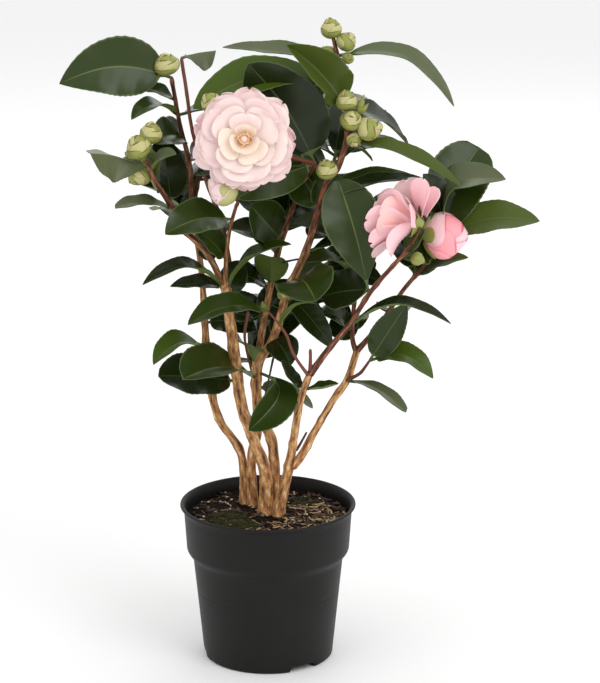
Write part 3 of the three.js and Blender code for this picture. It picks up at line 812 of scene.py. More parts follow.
def limb_rings(knots, radii, flare, sides, step, rng):
    """Rings square to the curve: a side vector and its partner at each mark, times the radius."""
    line, marks = smooth_line(knots, step)
    tangent = unit(np.gradient(line, axis=0))
    chord = unit(line[-1] - line[0])
    apart = np.cross(chord, (0, 1, 0))
    side = unit(apart - (tangent @ apart)[:, None] * tangent)
    partner = np.cross(tangent, side)
    turn = np.linspace(0, 2 * np.pi, sides, endpoint=False)
    taper = radii[0] + (radii[1] - radii[0]) * marks / marks[-1]
    radius = taper[:, None] * relief(marks, turn, flare, rng)
    radius[[0, -1]] *= END_PINCH
    ring = (side[:, None] * np.cos(turn)[None, :, None]
            + partner[:, None] * np.sin(turn)[None, :, None])
    return line[:, None] + ring * radius[..., None], marks


def round_map(marks, sides):
    """Map places of a tube's quads: u is the share of the way round and v the length in cm."""
    u = np.arange(sides + 1) / sides
    v = marks / 10
    corners = ((u[:-1], v[:-1]), (u[1:], v[:-1]), (u[1:], v[1:]), (u[:-1], v[1:]))
    wall = np.stack([np.stack(np.broadcast_arrays(across[None, :], along[:, None]), -1)
                     for across, along in corners], 2).reshape(-1, 4, 2)
    return np.concatenate([wall, np.zeros((2 * (sides // 2 - 1), 4, 2))])


# %% Make the limbs
LIMB_SEED = 5
OLD_LIMBS = ("stem_right", "bough_right")
TURNING_BOUGHS = ("bough_left", "bough_pink_bud")
FOOT_FLARE, FORK_FLARE, TWIG_FLARE = 0.55, 0.25, 0.3
LIMB_SIDES, TWIG_SIDES = 22, 10
LIMB_STEP, TWIG_STEP = 1.6, 2.0  # mm between one ring and the next
FOOT_BELOW = 4.0                 # the visible foot starts this far under the compost's crumbs


def add_limb(sheaf, knots, radii, flare, sides, step, name, rng):
    """One limb with its finish and its streak map."""
    points, marks = limb_rings(knots, radii, flare, sides, step, rng)
    slot = sheaf.slot(name)
    sheaf.add(points, tube_quads(len(marks), sides), slot, round_map(marks, sides))


def bark_of(name):
    """The bark finish of a named limb: old, turning red on the way up, or young all along."""
    if name in OLD_LIMBS:
        return "bark_old"
    turning = name.startswith("stem") or name in TURNING_BOUGHS
    return "bark_turning" if turning else "bark_young"


def make_limbs():
    """Every stem and bough as its own piece, in place of its CAD limb."""
    rng = np.random.default_rng(LIMB_SEED)
    faces = 0
    for name, (radii, knots) in LIMBS.items():
        is_stem = name.startswith("stem")
        if is_stem:
            x, y, z = knots[0]
            knots = [(x, y, z - FOOT_BELOW)] + knots
        sheaf = Sheaf()
        flare = FOOT_FLARE if is_stem else FORK_FLARE
        add_limb(sheaf, knots, radii, flare, LIMB_SIDES, LIMB_STEP, bark_of(name), rng)
        faces += len(sheaf.make(name + "_bark", "bark", name).data.polygons)
    return faces


def make_twigs():
    """The thin twigs, stubs and stalks, joined into one piece."""
    rng = np.random.default_rng(LIMB_SEED + 1)
    sheaf = Sheaf()
    for name, (radii, knots) in TWIGS.items():
        tone = "twig_grey" if name in DEAD_TWIGS else "twig_red"
        add_limb(sheaf, knots, radii, TWIG_FLARE, TWIG_SIDES, TWIG_STEP, tone, rng)
    return len(sheaf.make("twigs", "bark").data.polygons)


print("limbs:", make_limbs(), "faces; twigs:", make_twigs(), "faces")

# %% [markdown]
# ## Leaves
#
# A camellia leaf is stiff and glossy: an oval with a drawn-out tip, two halves that rise a little
# from a sunken rib, and side veins that quilt the blade. Scattering copies of one leaf would be
# quick, but this shrub is open enough for each leaf to be seen, so every leaf is its own grid. The
# rows of the grid run along an arched rib, the columns run across it, and the blade's width, fold,
# quilting and ripple are functions of the two.

# %% One leaf
LEAF_ROWS = 34
LEAF_COLUMNS = np.array([-1, -0.95, -0.76, -0.52, -0.28, -0.1, -0.028, 0.028, 0.1, 0.28, 0.52,
                         0.76, 0.95, 1])
RIB_COLUMN = 6                   # the strip of faces between the two middle columns
STALK_SHARE = 0.09               # of a leaf's reach is its stalk
STALK_HALF_WIDTH = 0.95
BLADE_THICKNESS = 0.5
KEEL_HEIGHT = 0.9                # the rib stands out this far below the blade
SIDE_VEINS = 7
VEIN_LIFT = 0.14
RIPPLE_LIFT, RIPPLES = 0.05, 2.6  # height of the margin's waves, as a share, and their number
DEEP_SHARE = 0.55                # share of the leaves with no set tone that come out deep green
TOOTH = 0.011                    # share of the half width by which the margin is toothed
LEAF_FACES = sheet_quads(LEAF_ROWS, len(LEAF_COLUMNS))


def heading_vector(heading, rise):
    """Unit vector from a heading counted from +X towards +Y and a rise above level, in degrees."""
    h, r = math.radians(heading), math.radians(rise)
    return np.array([math.cos(h) * math.cos(r), math.sin(h) * math.cos(r), math.sin(r)])


def leaf(along, heading, rise, reach, width, turn=20, arch=0.1, fold=12, sway=0.0, twist=0.0,
         curl=0.1, belly=0.42, blunt=0.8, peak=0.5, tone=None):
    """One leaf in words: where on the shoot, which way, how long and wide, and how it is bent.

    turn tips the upper side from level (0) towards -Y (90). arch and sway bow the rib upwards and
    towards -Y, as shares of the reach, and peak is where along the leaf the bow is highest. fold
    lifts the two halves and twist turns the tip, in degrees, and curl bends the edges up, as a
    share of the half width. belly is where the blade is widest, and blunt is how round its tip is
    (less is blunter).
    """
    return dict(locals())


def blade_width(share, belly, blunt):
    """Half width along the blade, 1 at its widest.

    It is share to a power times (1 - share) to a power, a curve that is widest at `belly`: a
    rounded wedge at the foot and, for a `blunt` near 1, a straight taper to the tip.
    """
    foot = blunt * belly / (1 - belly)
    most = belly ** foot * (1 - belly) ** blunt
    return np.clip(share, 0, 1) ** foot * np.clip(1 - share, 0, 1) ** blunt / most


def leaf_grid(row, root, rng):
    """The leaf's grid of points and the blade share of each of its rows."""
    share = np.linspace(0, 1, LEAF_ROWS)
    along = heading_vector(row["heading"], row["rise"])
    level = unit(np.array([0, 0, 1]) - along[2] * along)
    front = np.cross(along, level)
    front = front if front[1] <= 0 else -front
    bow = np.sin(np.pi * share ** (math.log(0.5) / math.log(row["peak"])))
    rib = (root + along * (row["reach"] * share)[:, None]
           + level * (row["arch"] * row["reach"] * bow)[:, None]
           + front * (row["sway"] * row["reach"] * bow)[:, None])
    tangent = unit(np.gradient(rib, axis=0))
    angle = np.radians(row["turn"] + row["twist"] * (share - 0.4))[:, None]
    face = np.cos(angle) * level + np.sin(angle) * front
    face = unit(face - np.sum(face * tangent, -1, keepdims=True) * tangent)
    edge = np.cross(face, tangent)

    blade = (share - STALK_SHARE) / (1 - STALK_SHARE)
    half = 0.5 * row["width"] * blade_width(blade, row["belly"], row["blunt"])
    teeth = 1 + TOOTH * np.where(np.arange(LEAF_ROWS) % 2 == 0, 1, -1) * (blade > 0.12)
    half = np.maximum(half * teeth, STALK_HALF_WIDTH * np.clip(1.25 - share, 0.3, 1))[:, None]
    across = LEAF_COLUMNS[None, :]
    fold = math.radians(row["fold"]) * np.clip(blade * 4, 0, 1)[:, None]
    spread = np.abs(across)
    lift = half * (np.sin(fold) * np.sqrt(spread ** 2 + 0.004) + row["curl"] * spread ** 2)
    veins = np.cos(2 * np.pi * (SIDE_VEINS * blade[:, None] - 1.1 * spread))
    lift += VEIN_LIFT * veins * spread * (1 - spread) * 4 * (half > 4)
    ripple = rng.uniform(0, 2 * np.pi, 2)
    phase = np.where(across < 0, ripple[0], ripple[1])
    wave = np.sin(2 * np.pi * RIPPLES * blade[:, None] + phase)
    lift += RIPPLE_LIFT * half * spread ** 3 * wave
    grid = (rib[:, None] + edge[:, None] * (half * across * np.cos(fold))[..., None]
            + face[:, None] * lift[..., None])
    return grid, blade


def add_leaf(sheaf, row, root, rng):
    """One closed leaf: tone above, pale below, rib, stalk, and a painted highlight as its margin.
    """
    grid, blade = leaf_grid(row, root, rng)
    columns = len(LEAF_COLUMNS)
    stalk = np.clip(1 - blade * 9, 0, 1)[:, None] * np.ones(columns)
    keel = (KEEL_HEIGHT * np.exp(-(LEAF_COLUMNS / 0.08) ** 2)[None, :]
            * (1 - 0.8 * np.clip(blade, 0, 1))[:, None])
    points = sheet_points(grid, 0.5 * BLADE_THICKNESS + 0.5 * stalk,
                          0.5 * BLADE_THICKNESS + 0.7 * stalk + keel)
    tone = row["tone"] or rng.choice(("deep", "mid"), p=(DEEP_SHARE, 1 - DEEP_SHARE))
    # The darkest tone, partly painted shade, takes a dim rib and a dim margin.
    dim = "_dim" if tone == "deep" else ""
    upper = np.full((LEAF_ROWS - 1, columns - 1), sheaf.slot("leaf_" + tone))
    # The two outer strips take the pale margin, a painted highlight along the edge.
    upper[:, [0, -1]] = sheaf.slot("leaf_edge" + dim)
    upper[:, RIB_COLUMN] = sheaf.slot("leaf_rib" + dim)
    under = np.full_like(upper, sheaf.slot("leaf_under"))
    under[:, RIB_COLUMN] = sheaf.slot("leaf_rib")
    stalk_rows = blade[:-1] < 0.03
    upper[stalk_rows] = under[stalk_rows] = sheaf.slot("leaf_rib")
    # The rim wall round the blade takes the same painted edge highlight.
    rim = np.full(len(LEAF_FACES) - 2 * upper.size, sheaf.slot("leaf_edge"))
    sheaf.add(points, LEAF_FACES, np.concatenate([upper.ravel(), under.ravel(), rim]))


print("a leaf has", len(LEAF_FACES), "faces")

# %% [markdown]
# ## Sprays
#
# A spray is the set of leaves on one stretch of shoot. Those that make the plant's character, on
# the side that the open bloom faces, each have a row of their own, as on a silk plant that is
# wired leaf by leaf: where on the shoot, which way, how long. Leaves that only fill the crown
# come later, from a rule.

# %% Leaves with a row each
# Some rows set a tone that is painted light: the grey-green is a painted sheen on leaves that
# shine, and the darkest green is partly painted shade on leaves in shadow.
SPRAYS = {
    "upper_left": ("stem_left", [
        leaf(1.0, 198, 0, 94, 50, 74, arch=0.12, fold=10, curl=0, belly=0.38, blunt=0.9,
             tone="mid"),
        leaf(0.94, 186, 16, 36, 20, 20, arch=0.08, fold=14, tone="mid"),
        leaf(0.9, 230, 4, 56, 24, 8, arch=0.18, tone="mid"),
        leaf(0.84, 240, 4, 44, 32, 40, arch=0.1, fold=18),
    ]),
    "left_behind": ("stem_left", [
        leaf(0.72, 150, 20, 48, 28, 25),
        leaf(0.69, 120, 0, 36, 24, 30, tone="deep"),
    ]),
    "low_left": ("stem_left", [
        leaf(0.36, 215, -5, 54, 30, 10, arch=0.22, fold=20, tone="bright"),
        leaf(0.42, 358, -8, 44, 30, 40, tone="deep"),
    ]),
    "bud_cluster": ("bough_left", [
        leaf(0.93, 212, 20, 58, 46, 34, arch=0.06, fold=-40, sway=-0.12, belly=0.52,
             tone="painted_sheen"),
        leaf(0.93, 315, 30, 36, 17, 40, arch=0.1, fold=20, tone="painted_sheen"),
        leaf(0.78, 130, 30, 36, 46, -70, arch=0.04, tone="olive"),
        leaf(0.6, 207, 6, 52, 24, 10, arch=0.08, blunt=0.5, tone="painted_sheen"),
        leaf(0.62, 108, 58, 64, 36, -20, arch=0.03, tone="deep"),
        leaf(0.17, 105, 30, 27, 20, 40),
    ]),
    "left_middle": ("bough_pink_bud", [
        leaf(0.77, 210, -5, 62, 38, 34, arch=0.1, tone="mid"),
        leaf(0.3, 205, 45, 40, 26, 55, arch=0.06, tone="mid"),
    ]),
    "main_fork": ("stem_main", [
        leaf(1.0, 213, 9, 80, 24, 10, arch=0.2, fold=16, tone="deep"),
        leaf(1.0, 187, 2, 46, 22, 18, arch=0.05),
        leaf(1.0, 344, 35, 70, 32, 8, arch=0.12, tone="mid"),
        leaf(0.95, 55, 50, 36, 24, 40, tone="deep"),
    ]),
    "main_low": ("stem_main", [
        leaf(0.85, 72, -4, 58, 32, 30, tone="deep"),
        leaf(0.6, 203, 10, 72, 46, 36, arch=0.02, fold=6, belly=0.5, blunt=0.6, tone="deep"),
    ]),
    "front_bloom": ("stem_back", [
        leaf(1.0, 205, 0, 107, 36, 40, arch=0.12, tone="deep"),
        leaf(1.0, 202, 56, 105, 64, 112, arch=0.05, fold=6, curl=0, belly=0.42, blunt=0.7,
             tone="deep"),
        leaf(1.0, 220, -12, 85, 32, 72, arch=0.04, tone="mid"),
    ]),
    "inner_left": ("stem_back", [
        leaf(0.7, 228, 28, 66, 32, 36, arch=0.08, tone="mid"),
        leaf(0.74, 240, 38, 64, 38, 105, fold=8, arch=0.0, belly=0.5, blunt=0.7, tone="mid"),
        leaf(0.61, 270, 45, 46, 30, 10, tone="deep"),
        leaf(0.6, 215, 20, 50, 32, 30, tone="deep"),
        leaf(0.5, 20, 50, 46, 30, 60, tone="deep"),
        leaf(0.52, 190, 15, 44, 28, 50, tone="deep"),
        leaf(0.4, 20, 40, 40, 26, 60, tone="deep"),
        leaf(0.39, 240, 40, 45, 30, 20),
        leaf(0.78, 322, -2, 58, 24, 26, arch=0.16, tone="painted_sheen"),
    ]),
    "top": ("stem_centre", [
        leaf(0.95, 165, 4, 99, 27, 14, arch=0.01, fold=16, tone="painted_sheen"),
        leaf(0.9, 187, -7, 125, 40, 38, arch=0.15, fold=8, belly=0.58, tone="bright"),
        leaf(0.86, 198, 46, 76, 48, 78, fold=50, arch=0.05, sway=-0.08, belly=0.4,
             tone="olive"),
        leaf(0.88, 152, 5, 72, 13, 12, arch=0.2, tone="painted_sheen"),
        leaf(0.96, 350, -22, 104, 23, 20, arch=0.21, fold=14, tone="painted_sheen"),
    ]),
    "right_upper": ("stem_centre", [
        leaf(0.86, 40, -31, 80, 34, 30, arch=0.08, tone="deep"),
        leaf(0.8, 341, -18, 102, 19, 22, arch=0.07, fold=24, belly=0.45, tone="olive"),
        leaf(0.79, 30, -32, 31, 11, 10),
    ]),
    "middle": ("stem_centre", [
        leaf(0.65, 115, 30, 46, 34, 40),
        leaf(0.64, 50, 30, 47, 32, 40),
        leaf(0.67, 0, 13, 86, 24, 12, arch=0.06, fold=14, tone="deep"),
        leaf(0.66, 22, 12, 88, 21, 16, arch=0.13, tone="mid"),
    ]),
    "inner_front": ("stem_centre", [
        leaf(0.49, 284, 2, 80, 50, 20, arch=0.1, fold=10, belly=0.6, blunt=0.6,
             tone="mid"),
        leaf(0.36, 300, -30, 34, 28, 20, tone="deep"),
        leaf(0.38, 296, 28, 86, 7, 0, arch=0.1, tone="bright"),
        leaf(0.46, 327, -42, 60, 22, 40, arch=0.04, tone="deep"),
        leaf(0.5, 30, -2, 40, 20, 24, arch=0.1, tone="painted_sheen"),
        leaf(0.42, 20, -4, 38, 18, 20, arch=0.06, blunt=0.6, tone="painted_sheen"),
    ]),
    "low_front": ("stem_centre", [
        leaf(0.27, 238, 13, 114, 46, 26, arch=0.08, fold=24, belly=0.6, blunt=0.5,
             tone="mid"),
        leaf(0.28, 262, -38, 60, 36, 42, arch=0.1, fold=36, sway=0.36, belly=0.56, blunt=0.75,
             peak=0.4, tone="mid"),
        leaf(0.25, 14, -24, 54, 20, 24, blunt=0.5, tone="painted_sheen"),
    ]),
    "low_middle": ("stem_right", [
        leaf(0.88, 180, 52, 31, 15, 30, arch=-0.1, fold=20, blunt=0.5),
        leaf(0.88, 336, 14, 32, 18, 6, arch=-0.06, fold=20),
    ]),
    "middle_right": ("bough_side_bloom", [
        leaf(0.6, 140, 70, 98, 48, 45, arch=0.03, fold=6, belly=0.62, blunt=0.7, tone="mid"),
        leaf(0.63, 155, -13, 46, 42, 42, arch=0.04, fold=6, belly=0.5, tone="deep"),
        leaf(0.92, 330, 50, 28, 18, 70, arch=0.05, tone="mid"),
        leaf(0.38, 340, 6, 88, 22, 6, arch=0.19, fold=16, tone="deep"),
    ]),
    "right_tip": ("bough_half_bloom", [
        leaf(0.99, 46, 56, 84, 52, 36, fold=14, blunt=0.45, belly=0.55, tone="mid"),
        leaf(1.0, 344, 44, 74, 42, 22, arch=0.32, fold=12, belly=0.45, tone="painted_sheen"),
        leaf(0.99, 175, 74, 56, 36, 40, tone="deep"),
        leaf(1.0, 356, 10, 82, 34, 38, arch=0.1, fold=10, tone="olive"),
        leaf(0.68, 348, 22, 48, 26, 16, arch=0.05, tone="olive"),
        leaf(0.86, 222, 6, 34, 26, 50, tone="mid"),
        leaf(1.0, 60, 38, 40, 22, 30, tone="deep"),
    ]),
    "right_inner": ("bough_right_inner", [
        leaf(0.77, 228, 24, 72, 34, 14, arch=0.14, tone="olive"),
        leaf(0.24, 214, 32, 38, 26, 40, arch=0.1),
        leaf(0.12, 135, 30, 30, 26, 40),
        leaf(0.79, 10, -4, 22, 20, 40),
    ]),
    "right_low": ("twig_right_low", [
        leaf(1.0, 320, 55, 68, 27, 112, arch=0.0, fold=10, tone="mid"),
        leaf(1.0, 345, -12, 56, 28, 20, arch=0.22, tone="bright"),
        leaf(0.0, 320, -14, 66, 16, 6, arch=0.1, blunt=0.45, belly=0.6, tone="painted_sheen"),
    ]),
    "left_front": ("twig_low_leaf", [
        leaf(1.0, 205, -3, 72, 34, 14, arch=0.13, fold=10, tone="mid"),
    ]),
    "behind_bloom": ("twig_behind_bloom", [
        leaf(1.0, 35, 5, 34, 34, 22, arch=0.05, fold=-52, belly=0.58, blunt=0.9, tone="painted_sheen"),
    ]),
}
EXTRA_SPRAYS = ("behind_bloom",)      # these stand in for no mass of their own
LEAF_SEED = 11


def shoot_point(shoot, share):
    """Point at a share of the length of a named limb or twig."""
    line, marks = smooth_line({**LIMBS, **TWIGS}[shoot][1], 1.0)
    return np.array([np.interp(share * marks[-1], marks, line[:, i]) for i in range(3)])


def make_sprays():
    """One piece of joined leaves for each mass, in place of the CAD mass of that name."""
    rng = np.random.default_rng(LEAF_SEED)
    faces = 0
    for name, (shoot, rows) in SPRAYS.items():
        sheaf = Sheaf()
        for row in rows:
            add_leaf(sheaf, row, shoot_point(shoot, row["along"]), rng)
        replaced = [] if name in EXTRA_SPRAYS else ["foliage_" + name]
        piece = sheaf.make("leaves_" + name, "foliage", *replaced)
        faces += len(piece.data.polygons)
    return faces


print("leaves with a row each:", make_sprays(), "faces")

# %% [markdown]
# ## Buds
#
# A camellia bud is a fat egg of overlapping scales, each rounded, green to straw yellow, with a dry
# brown edge. A bumpy sphere would lose the overlaps that catch the light, so each bud is a plain
# egg wrapped in separate scales: curved sheets that follow the egg a little outside it.

# %% One bud
SCALE_ROWS, SCALE_COLUMNS = 9, 9
SCALE_FACES = sheet_quads(SCALE_ROWS, SCALE_COLUMNS)
GOLDEN_TURN = 2.39996            # radians between one scale and the next


def axes_of(axis):
    """Two unit vectors square to an axis and to each other."""
    helper = np.array([0, 0, 1.0]) if abs(axis[2]) < 0.9 else np.array([1.0, 0, 0])
    first = unit(np.cross(helper, axis))
    return first, np.cross(axis, first)


def egg_radius(share, pointed):
    """Radius of an egg along its axis, 1 at its widest: a half sine, drawn in towards the tip."""
    return np.sin(np.pi * np.clip(share, 0, 1) ** (0.78 - 0.1 * pointed)) ** (0.62 + 0.25 * pointed)


def add_bud(sheaf, foot, axis, radius, length, rng, tones, scales, pointed, edge="bud_edge"):
    """An egg from `foot` along `axis`, wrapped in scales that reach higher one after another."""
    axis = unit(np.asarray(axis, float))
    first, second = axes_of(axis)
    share = np.linspace(0.02, 0.985, 14)
    turn = np.linspace(0, 2 * np.pi, 14, endpoint=False)
    ring = first * np.cos(turn)[:, None] + second * np.sin(turn)[:, None]
    girth = radius * 0.96 * egg_radius(share, pointed)
    body = foot + axis * (length * share)[:, None, None] + ring[None] * girth[:, None, None]
    sheaf.add(body, tube_quads(14, 14), sheaf.slot(tones[-1]))
    up = np.linspace(0, 1, SCALE_ROWS)
    for i in range(scales):
        reach = 0.42 + 0.56 * (i / (scales - 1)) ** 0.8
        reach *= rng.uniform(0.95, 1.02)
        middle = i * GOLDEN_TURN + rng.uniform(-0.3, 0.3)
        along = 0.03 + (reach - 0.03) * (1 - (1 - up) ** 1.4)
        width = 1.15 * np.sqrt(np.clip(1 - (0.98 * up) ** 3.2, 0.02, 1))
        angle = middle + width[:, None] * np.linspace(-1, 1, SCALE_COLUMNS)[None, :]
        proud = 1.03 + 0.07 * (1 - i / scales) + 0.05 * up ** 4
        girth = radius * (egg_radius(along, pointed) * proud)[:, None]
        grid = (foot + axis * (length * along)[:, None, None]
                + (first * np.cos(angle)[..., None] + second * np.sin(angle)[..., None])
                * girth[..., None])
        grid = grid[:, ::-1]
        slots = np.full((SCALE_ROWS - 1, SCALE_COLUMNS - 1), sheaf.slot(tones[i % len(tones)]))
        slots[-1] = sheaf.slot(edge)
        rim = np.full(len(SCALE_FACES) - 2 * slots.size, sheaf.slot(edge))
        sheaf.add(sheet_points(grid, 0.18, 0.18), SCALE_FACES,
                  np.concatenate([slots.ravel(), slots.ravel(), rim]))


# Each bud: foot, axis, radius, length. Its stalk, if it has one, starts on the shoot.
BUDS = [
    ((-80, 2, 505), (-0.2, -0.25, 1), 9.7, 19),
    ((-99, -42, 446), (-0.45, -0.3, 0.85), 9.6, 20),
    ((-94, -38, 455), (0.1, -0.1, 1), 8.4, 19),
    ((-98, -24, 438), (-1, 0.1, 0.35), 9, 19),
    ((-97, -25, 434), (-0.65, -0.2, -0.6), 9.8, 21),
    ((47, 0, 489), (-0.75, -0.1, 0.6), 8.8, 24),
    ((-40, -30, 482), (-0.6, -0.3, 0.7), 8, 17),
    ((50, -27, 424), (-0.1, -0.3, 1), 8.1, 18),
    ((13, 8, 312), (0.3, -0.3, 0.9), 6, 15),
    ((54, 4, 534), (-0.15, -0.1, 1), 7.9, 18),
    ((60, 2, 526), (0.65, -0.1, 0.7), 7.6, 17),
    ((55, 4, 520), (-0.8, 0, 0.6), 4.4, 12),
    ((65, -3, 517), (0.3, -0.6, 0.5), 4.6, 10),
    ((66, -16, 478), (-0.1, -0.1, 1), 8, 18),
    ((68, -20, 466), (0.1, -0.5, 0.6), 8.2, 17),
    ((75, -22, 462), (1, -0.35, 0.25), 8.9, 22),
    ((70, -20, 458), (0.2, -0.5, -0.4), 6, 12),
    ((74, -14, 474), (0.35, 0, 1), 2.6, 18),
    ((75, -14, 474), (0.7, -0.1, 0.8), 2.2, 13),
    ((118, -60, 366), (0.6, 0.2, -0.3), 5, 13),
    ((-2, 22, 300), (-0.3, -0.3, 1), 2.8, 9),
    ((-41, 98, 444), (-0.1, 0.5, 1), 8.4, 18),
    ((-37, 101, 440), (0.7, 0.4, 0.5), 7.4, 17),
    ((61, 62, 436), (0.3, 0.5, 1), 8.8, 19),
    ((26, 100, 388), (0.2, 0.8, 0.7), 7.2, 16),
]
BUD_SEED = 31
BIG_BUD = 5                      # buds of a larger radius than this show cream scales


def make_buds():
    """Every closed bud of the plant, joined into one piece."""
    rng = np.random.default_rng(BUD_SEED)
    sheaf = Sheaf()
    for foot, axis, radius, length in BUDS:
        big = radius > BIG_BUD
        tones = ("bud_green", "bud_cream" if big else "bud_green")
        add_bud(sheaf, np.array(foot, float), axis, radius, length, rng, tones,
                scales=9 if big else 6, pointed=0.35 if big else 0.9)
    return sheaf.make("buds", "foliage")


buds = make_buds()
print(len(BUDS), "buds:", len(buds.data.polygons), "faces")

# %% [markdown]
# ## Blooms
#
# The open bloom is a formal double: rings of notched, rounded petals that shrink and stand up
# towards a tight cup with a pearl of unopened petals. The side bloom is looser and opens to the
# left, the half-open one is still a ball, and the pink bud only shows the tips of its petals. One
# petal function serves all: a path that starts at the axis and opens outwards, an outline that
# rounds off past its widest place, and a cupped section. Ring by ring the numbers change, and a
# seeded jitter keeps the rings from looking printed.

# %% One petal
PETAL_ROWS, PETAL_COLUMNS = 12, 11
PETAL_THICKNESS = 0.45
PETAL_FOOT = 2.0                 # a petal starts this far out from its bloom's axis
PETAL_WIDEST = 0.64              # share of its length at which a petal is widest
PETAL_FACES = sheet_quads(PETAL_ROWS, PETAL_COLUMNS)


def petal(along, length, width, opens, cup, notch, wave, bend=1.2, roll=0):
    """One ring's petals in words.

    along is where the ring stands on the axis; opens is the angle from the axis at the petal's
    foot and at its tip; cup lifts the edges towards the axis, as a share of the half width; notch
    cuts the tip, wave ruffles the edge, bend says how late along the petal it opens, and roll
    turns the blade about its own length, in degrees.
    """
    return dict(locals())


def petal_grid(row, centre, axes, azimuth, rng):
    """The petal's grid: rows from the foot to the tip, columns across."""
    first, second, axis = axes
    out = first * math.cos(azimuth) + second * math.sin(azimuth)
    aside = np.cross(axis, out)
    share = 1 - (1 - np.linspace(0, 1, PETAL_ROWS)) ** 2
    opens = np.radians(row["opens"][0] + (row["opens"][1] - row["opens"][0]) * share ** row["bend"])
    step = np.diff(share, prepend=0)[:, None] * row["length"]
    way = np.sin(opens)[:, None] * out + np.cos(opens)[:, None] * axis
    path = centre + row["along"] * axis + PETAL_FOOT * out + np.cumsum(step * way, axis=0)
    inward = -np.cos(opens)[:, None] * out + np.sin(opens)[:, None] * axis
    roll = np.radians(row["roll"] * share)[:, None]
    aside, inward = (aside * np.cos(roll) + inward * np.sin(roll),
                     inward * np.cos(roll) - aside * np.sin(roll))
    rising = np.sin(0.5 * np.pi * np.clip(share / PETAL_WIDEST, 0, 1)) ** 0.75
    past = np.clip((share - PETAL_WIDEST) / (1.004 - PETAL_WIDEST), 0, 1)
    falling = np.sqrt(1 - past ** 2.4)
    half = (0.5 * row["width"] * np.where(share < PETAL_WIDEST, rising, falling))[:, None]
    across = np.linspace(-1, 1, PETAL_COLUMNS)[None, :]
    ruffle = (0.6 * np.sin(3.1 * across + rng.uniform(0, 6))
              + 0.3 * np.sin(6.3 * across + rng.uniform(0, 6)))
    lift = (row["cup"] * half * across ** 2
            + row["wave"] * row["width"] * share[:, None] ** 2 * ruffle)
    dent = row["notch"] * row["length"] * np.exp(-(across / 0.3) ** 2) * share[:, None] ** 6
    return (path[:, None] + aside[:, None] * (half * across)[..., None]
            + inward[:, None] * lift[..., None] - way[:, None] * dent[..., None])


RIM_OF = {"petal_blush": "petal_pale", "petal_shell": "petal_pale", "petal_pale": "petal_cream",
          "petal_rose": "petal_salmon"}


def add_petal(sheaf, row, centre, axes, azimuth, name, rng):
    """One closed petal at an azimuth round the axis, its rim in a shade of its own."""
    grid = petal_grid(row, centre, axes, azimuth, rng)
    slots = np.full(len(PETAL_FACES), sheaf.slot(name))
    slots[2 * (PETAL_ROWS - 1) * (PETAL_COLUMNS - 1):] = sheaf.slot(RIM_OF.get(name, name))
    sheaf.add(sheet_points(grid, 0.5 * PETAL_THICKNESS, 0.5 * PETAL_THICKNESS), PETAL_FACES, slots)


def add_ring(sheaf, row, count, centre, axes, start, tone, rng, jitter=0.12):
    """A ring of `count` petals, evenly turned and then jittered in turn, length and opening."""
    for i in range(count):
        azimuth = start + 2 * math.pi * (i + rng.uniform(-jitter, jitter)) / count
        one = dict(row)
        one["length"] = row["length"] * rng.uniform(0.94, 1.05)
        one["width"] = row["width"] * rng.uniform(0.94, 1.06)
        nod = rng.uniform(-3, 3)
        one["opens"] = (row["opens"][0] + nod, row["opens"][1] + 1.6 * nod)
        name = tone if isinstance(tone, str) else tone[rng.integers(len(tone))]
        add_petal(sheaf, one, centre, axes, azimuth, name, rng)


def add_pearl(sheaf, centre, axis, radius, tone):
    """A small ball of petals that are still closed."""
    first, second = axes_of(axis)
    down = np.linspace(0.06, np.pi - 0.06, 12)
    turn = np.linspace(0, 2 * np.pi, 16, endpoint=False)
    ring = first * np.cos(turn)[:, None] + second * np.sin(turn)[:, None]
    points = (centre + ring[None] * (radius * np.sin(down))[:, None, None]
              - axis * (radius * np.cos(down))[:, None, None])
    sheaf.add(points, tube_quads(12, 16), sheaf.slot(tone))


def bloom_axes(axis):
    """The two cross axes and the axis of a bloom that opens along `axis`."""
    axis = unit(np.asarray(axis, float))
    return (*axes_of(axis), axis)


# %% The open bloom
BLOOM_SEED = 3
SEPALS = 5
OPEN_BLOOM_AT = np.array([-17, -58, 462])
OPEN_BLOOM_AXIS = (0.0, -0.97, 0.24)
OPEN_BLOOM_RINGS = [
    (9, ("petal_shell", "petal_blush"), petal(-5, 41, 27, (80, 104), 0.1, 0.05, 0.07)),
    (7, ("petal_shell", "petal_pale"), petal(-3, 38, 33, (76, 97), 0.1, 0.03, 0.06)),
    (5, ("petal_pale", "petal_shell"), petal(-1, 34, 39, (70, 90), 0.12, 0.03, 0.06)),
    (4, ("petal_pale",), petal(1, 27, 33, (62, 86), 0.14, 0.02, 0.05)),
    (3, ("petal_pale", "petal_cream"), petal(2.5, 20, 26, (54, 82), 0.2, 0.02, 0.05)),
    (3, ("petal_cream", "petal_peach"), petal(4, 14, 18, (30, 58), 0.34, 0.0, 0.04)),
    (3, ("petal_peach",), petal(5, 10, 14, (4, 22), 0.62, 0.0, 0.0)),
]


def make_open_bloom():
    """Seven rings of petals and the pearl, with five green sepals behind."""
    rng = np.random.default_rng(BLOOM_SEED)
    axes = bloom_axes(OPEN_BLOOM_AXIS)
    sheaf = Sheaf()
    sepal = petal(-6, 15, 13, (50, 100), 0.3, 0.0, 0.0)
    add_ring(sheaf, sepal, SEPALS, OPEN_BLOOM_AT, axes, 0.2, "bud_green", rng)
    for i, (count, tones, row) in enumerate(OPEN_BLOOM_RINGS):
        add_ring(sheaf, row, count, OPEN_BLOOM_AT, axes, i * GOLDEN_TURN, tones, rng, jitter=0.2)
    add_pearl(sheaf, OPEN_BLOOM_AT + 10 * axes[2], axes[2], 3.9, "petal_pale")
    return sheaf.make("open_bloom", "foliage")


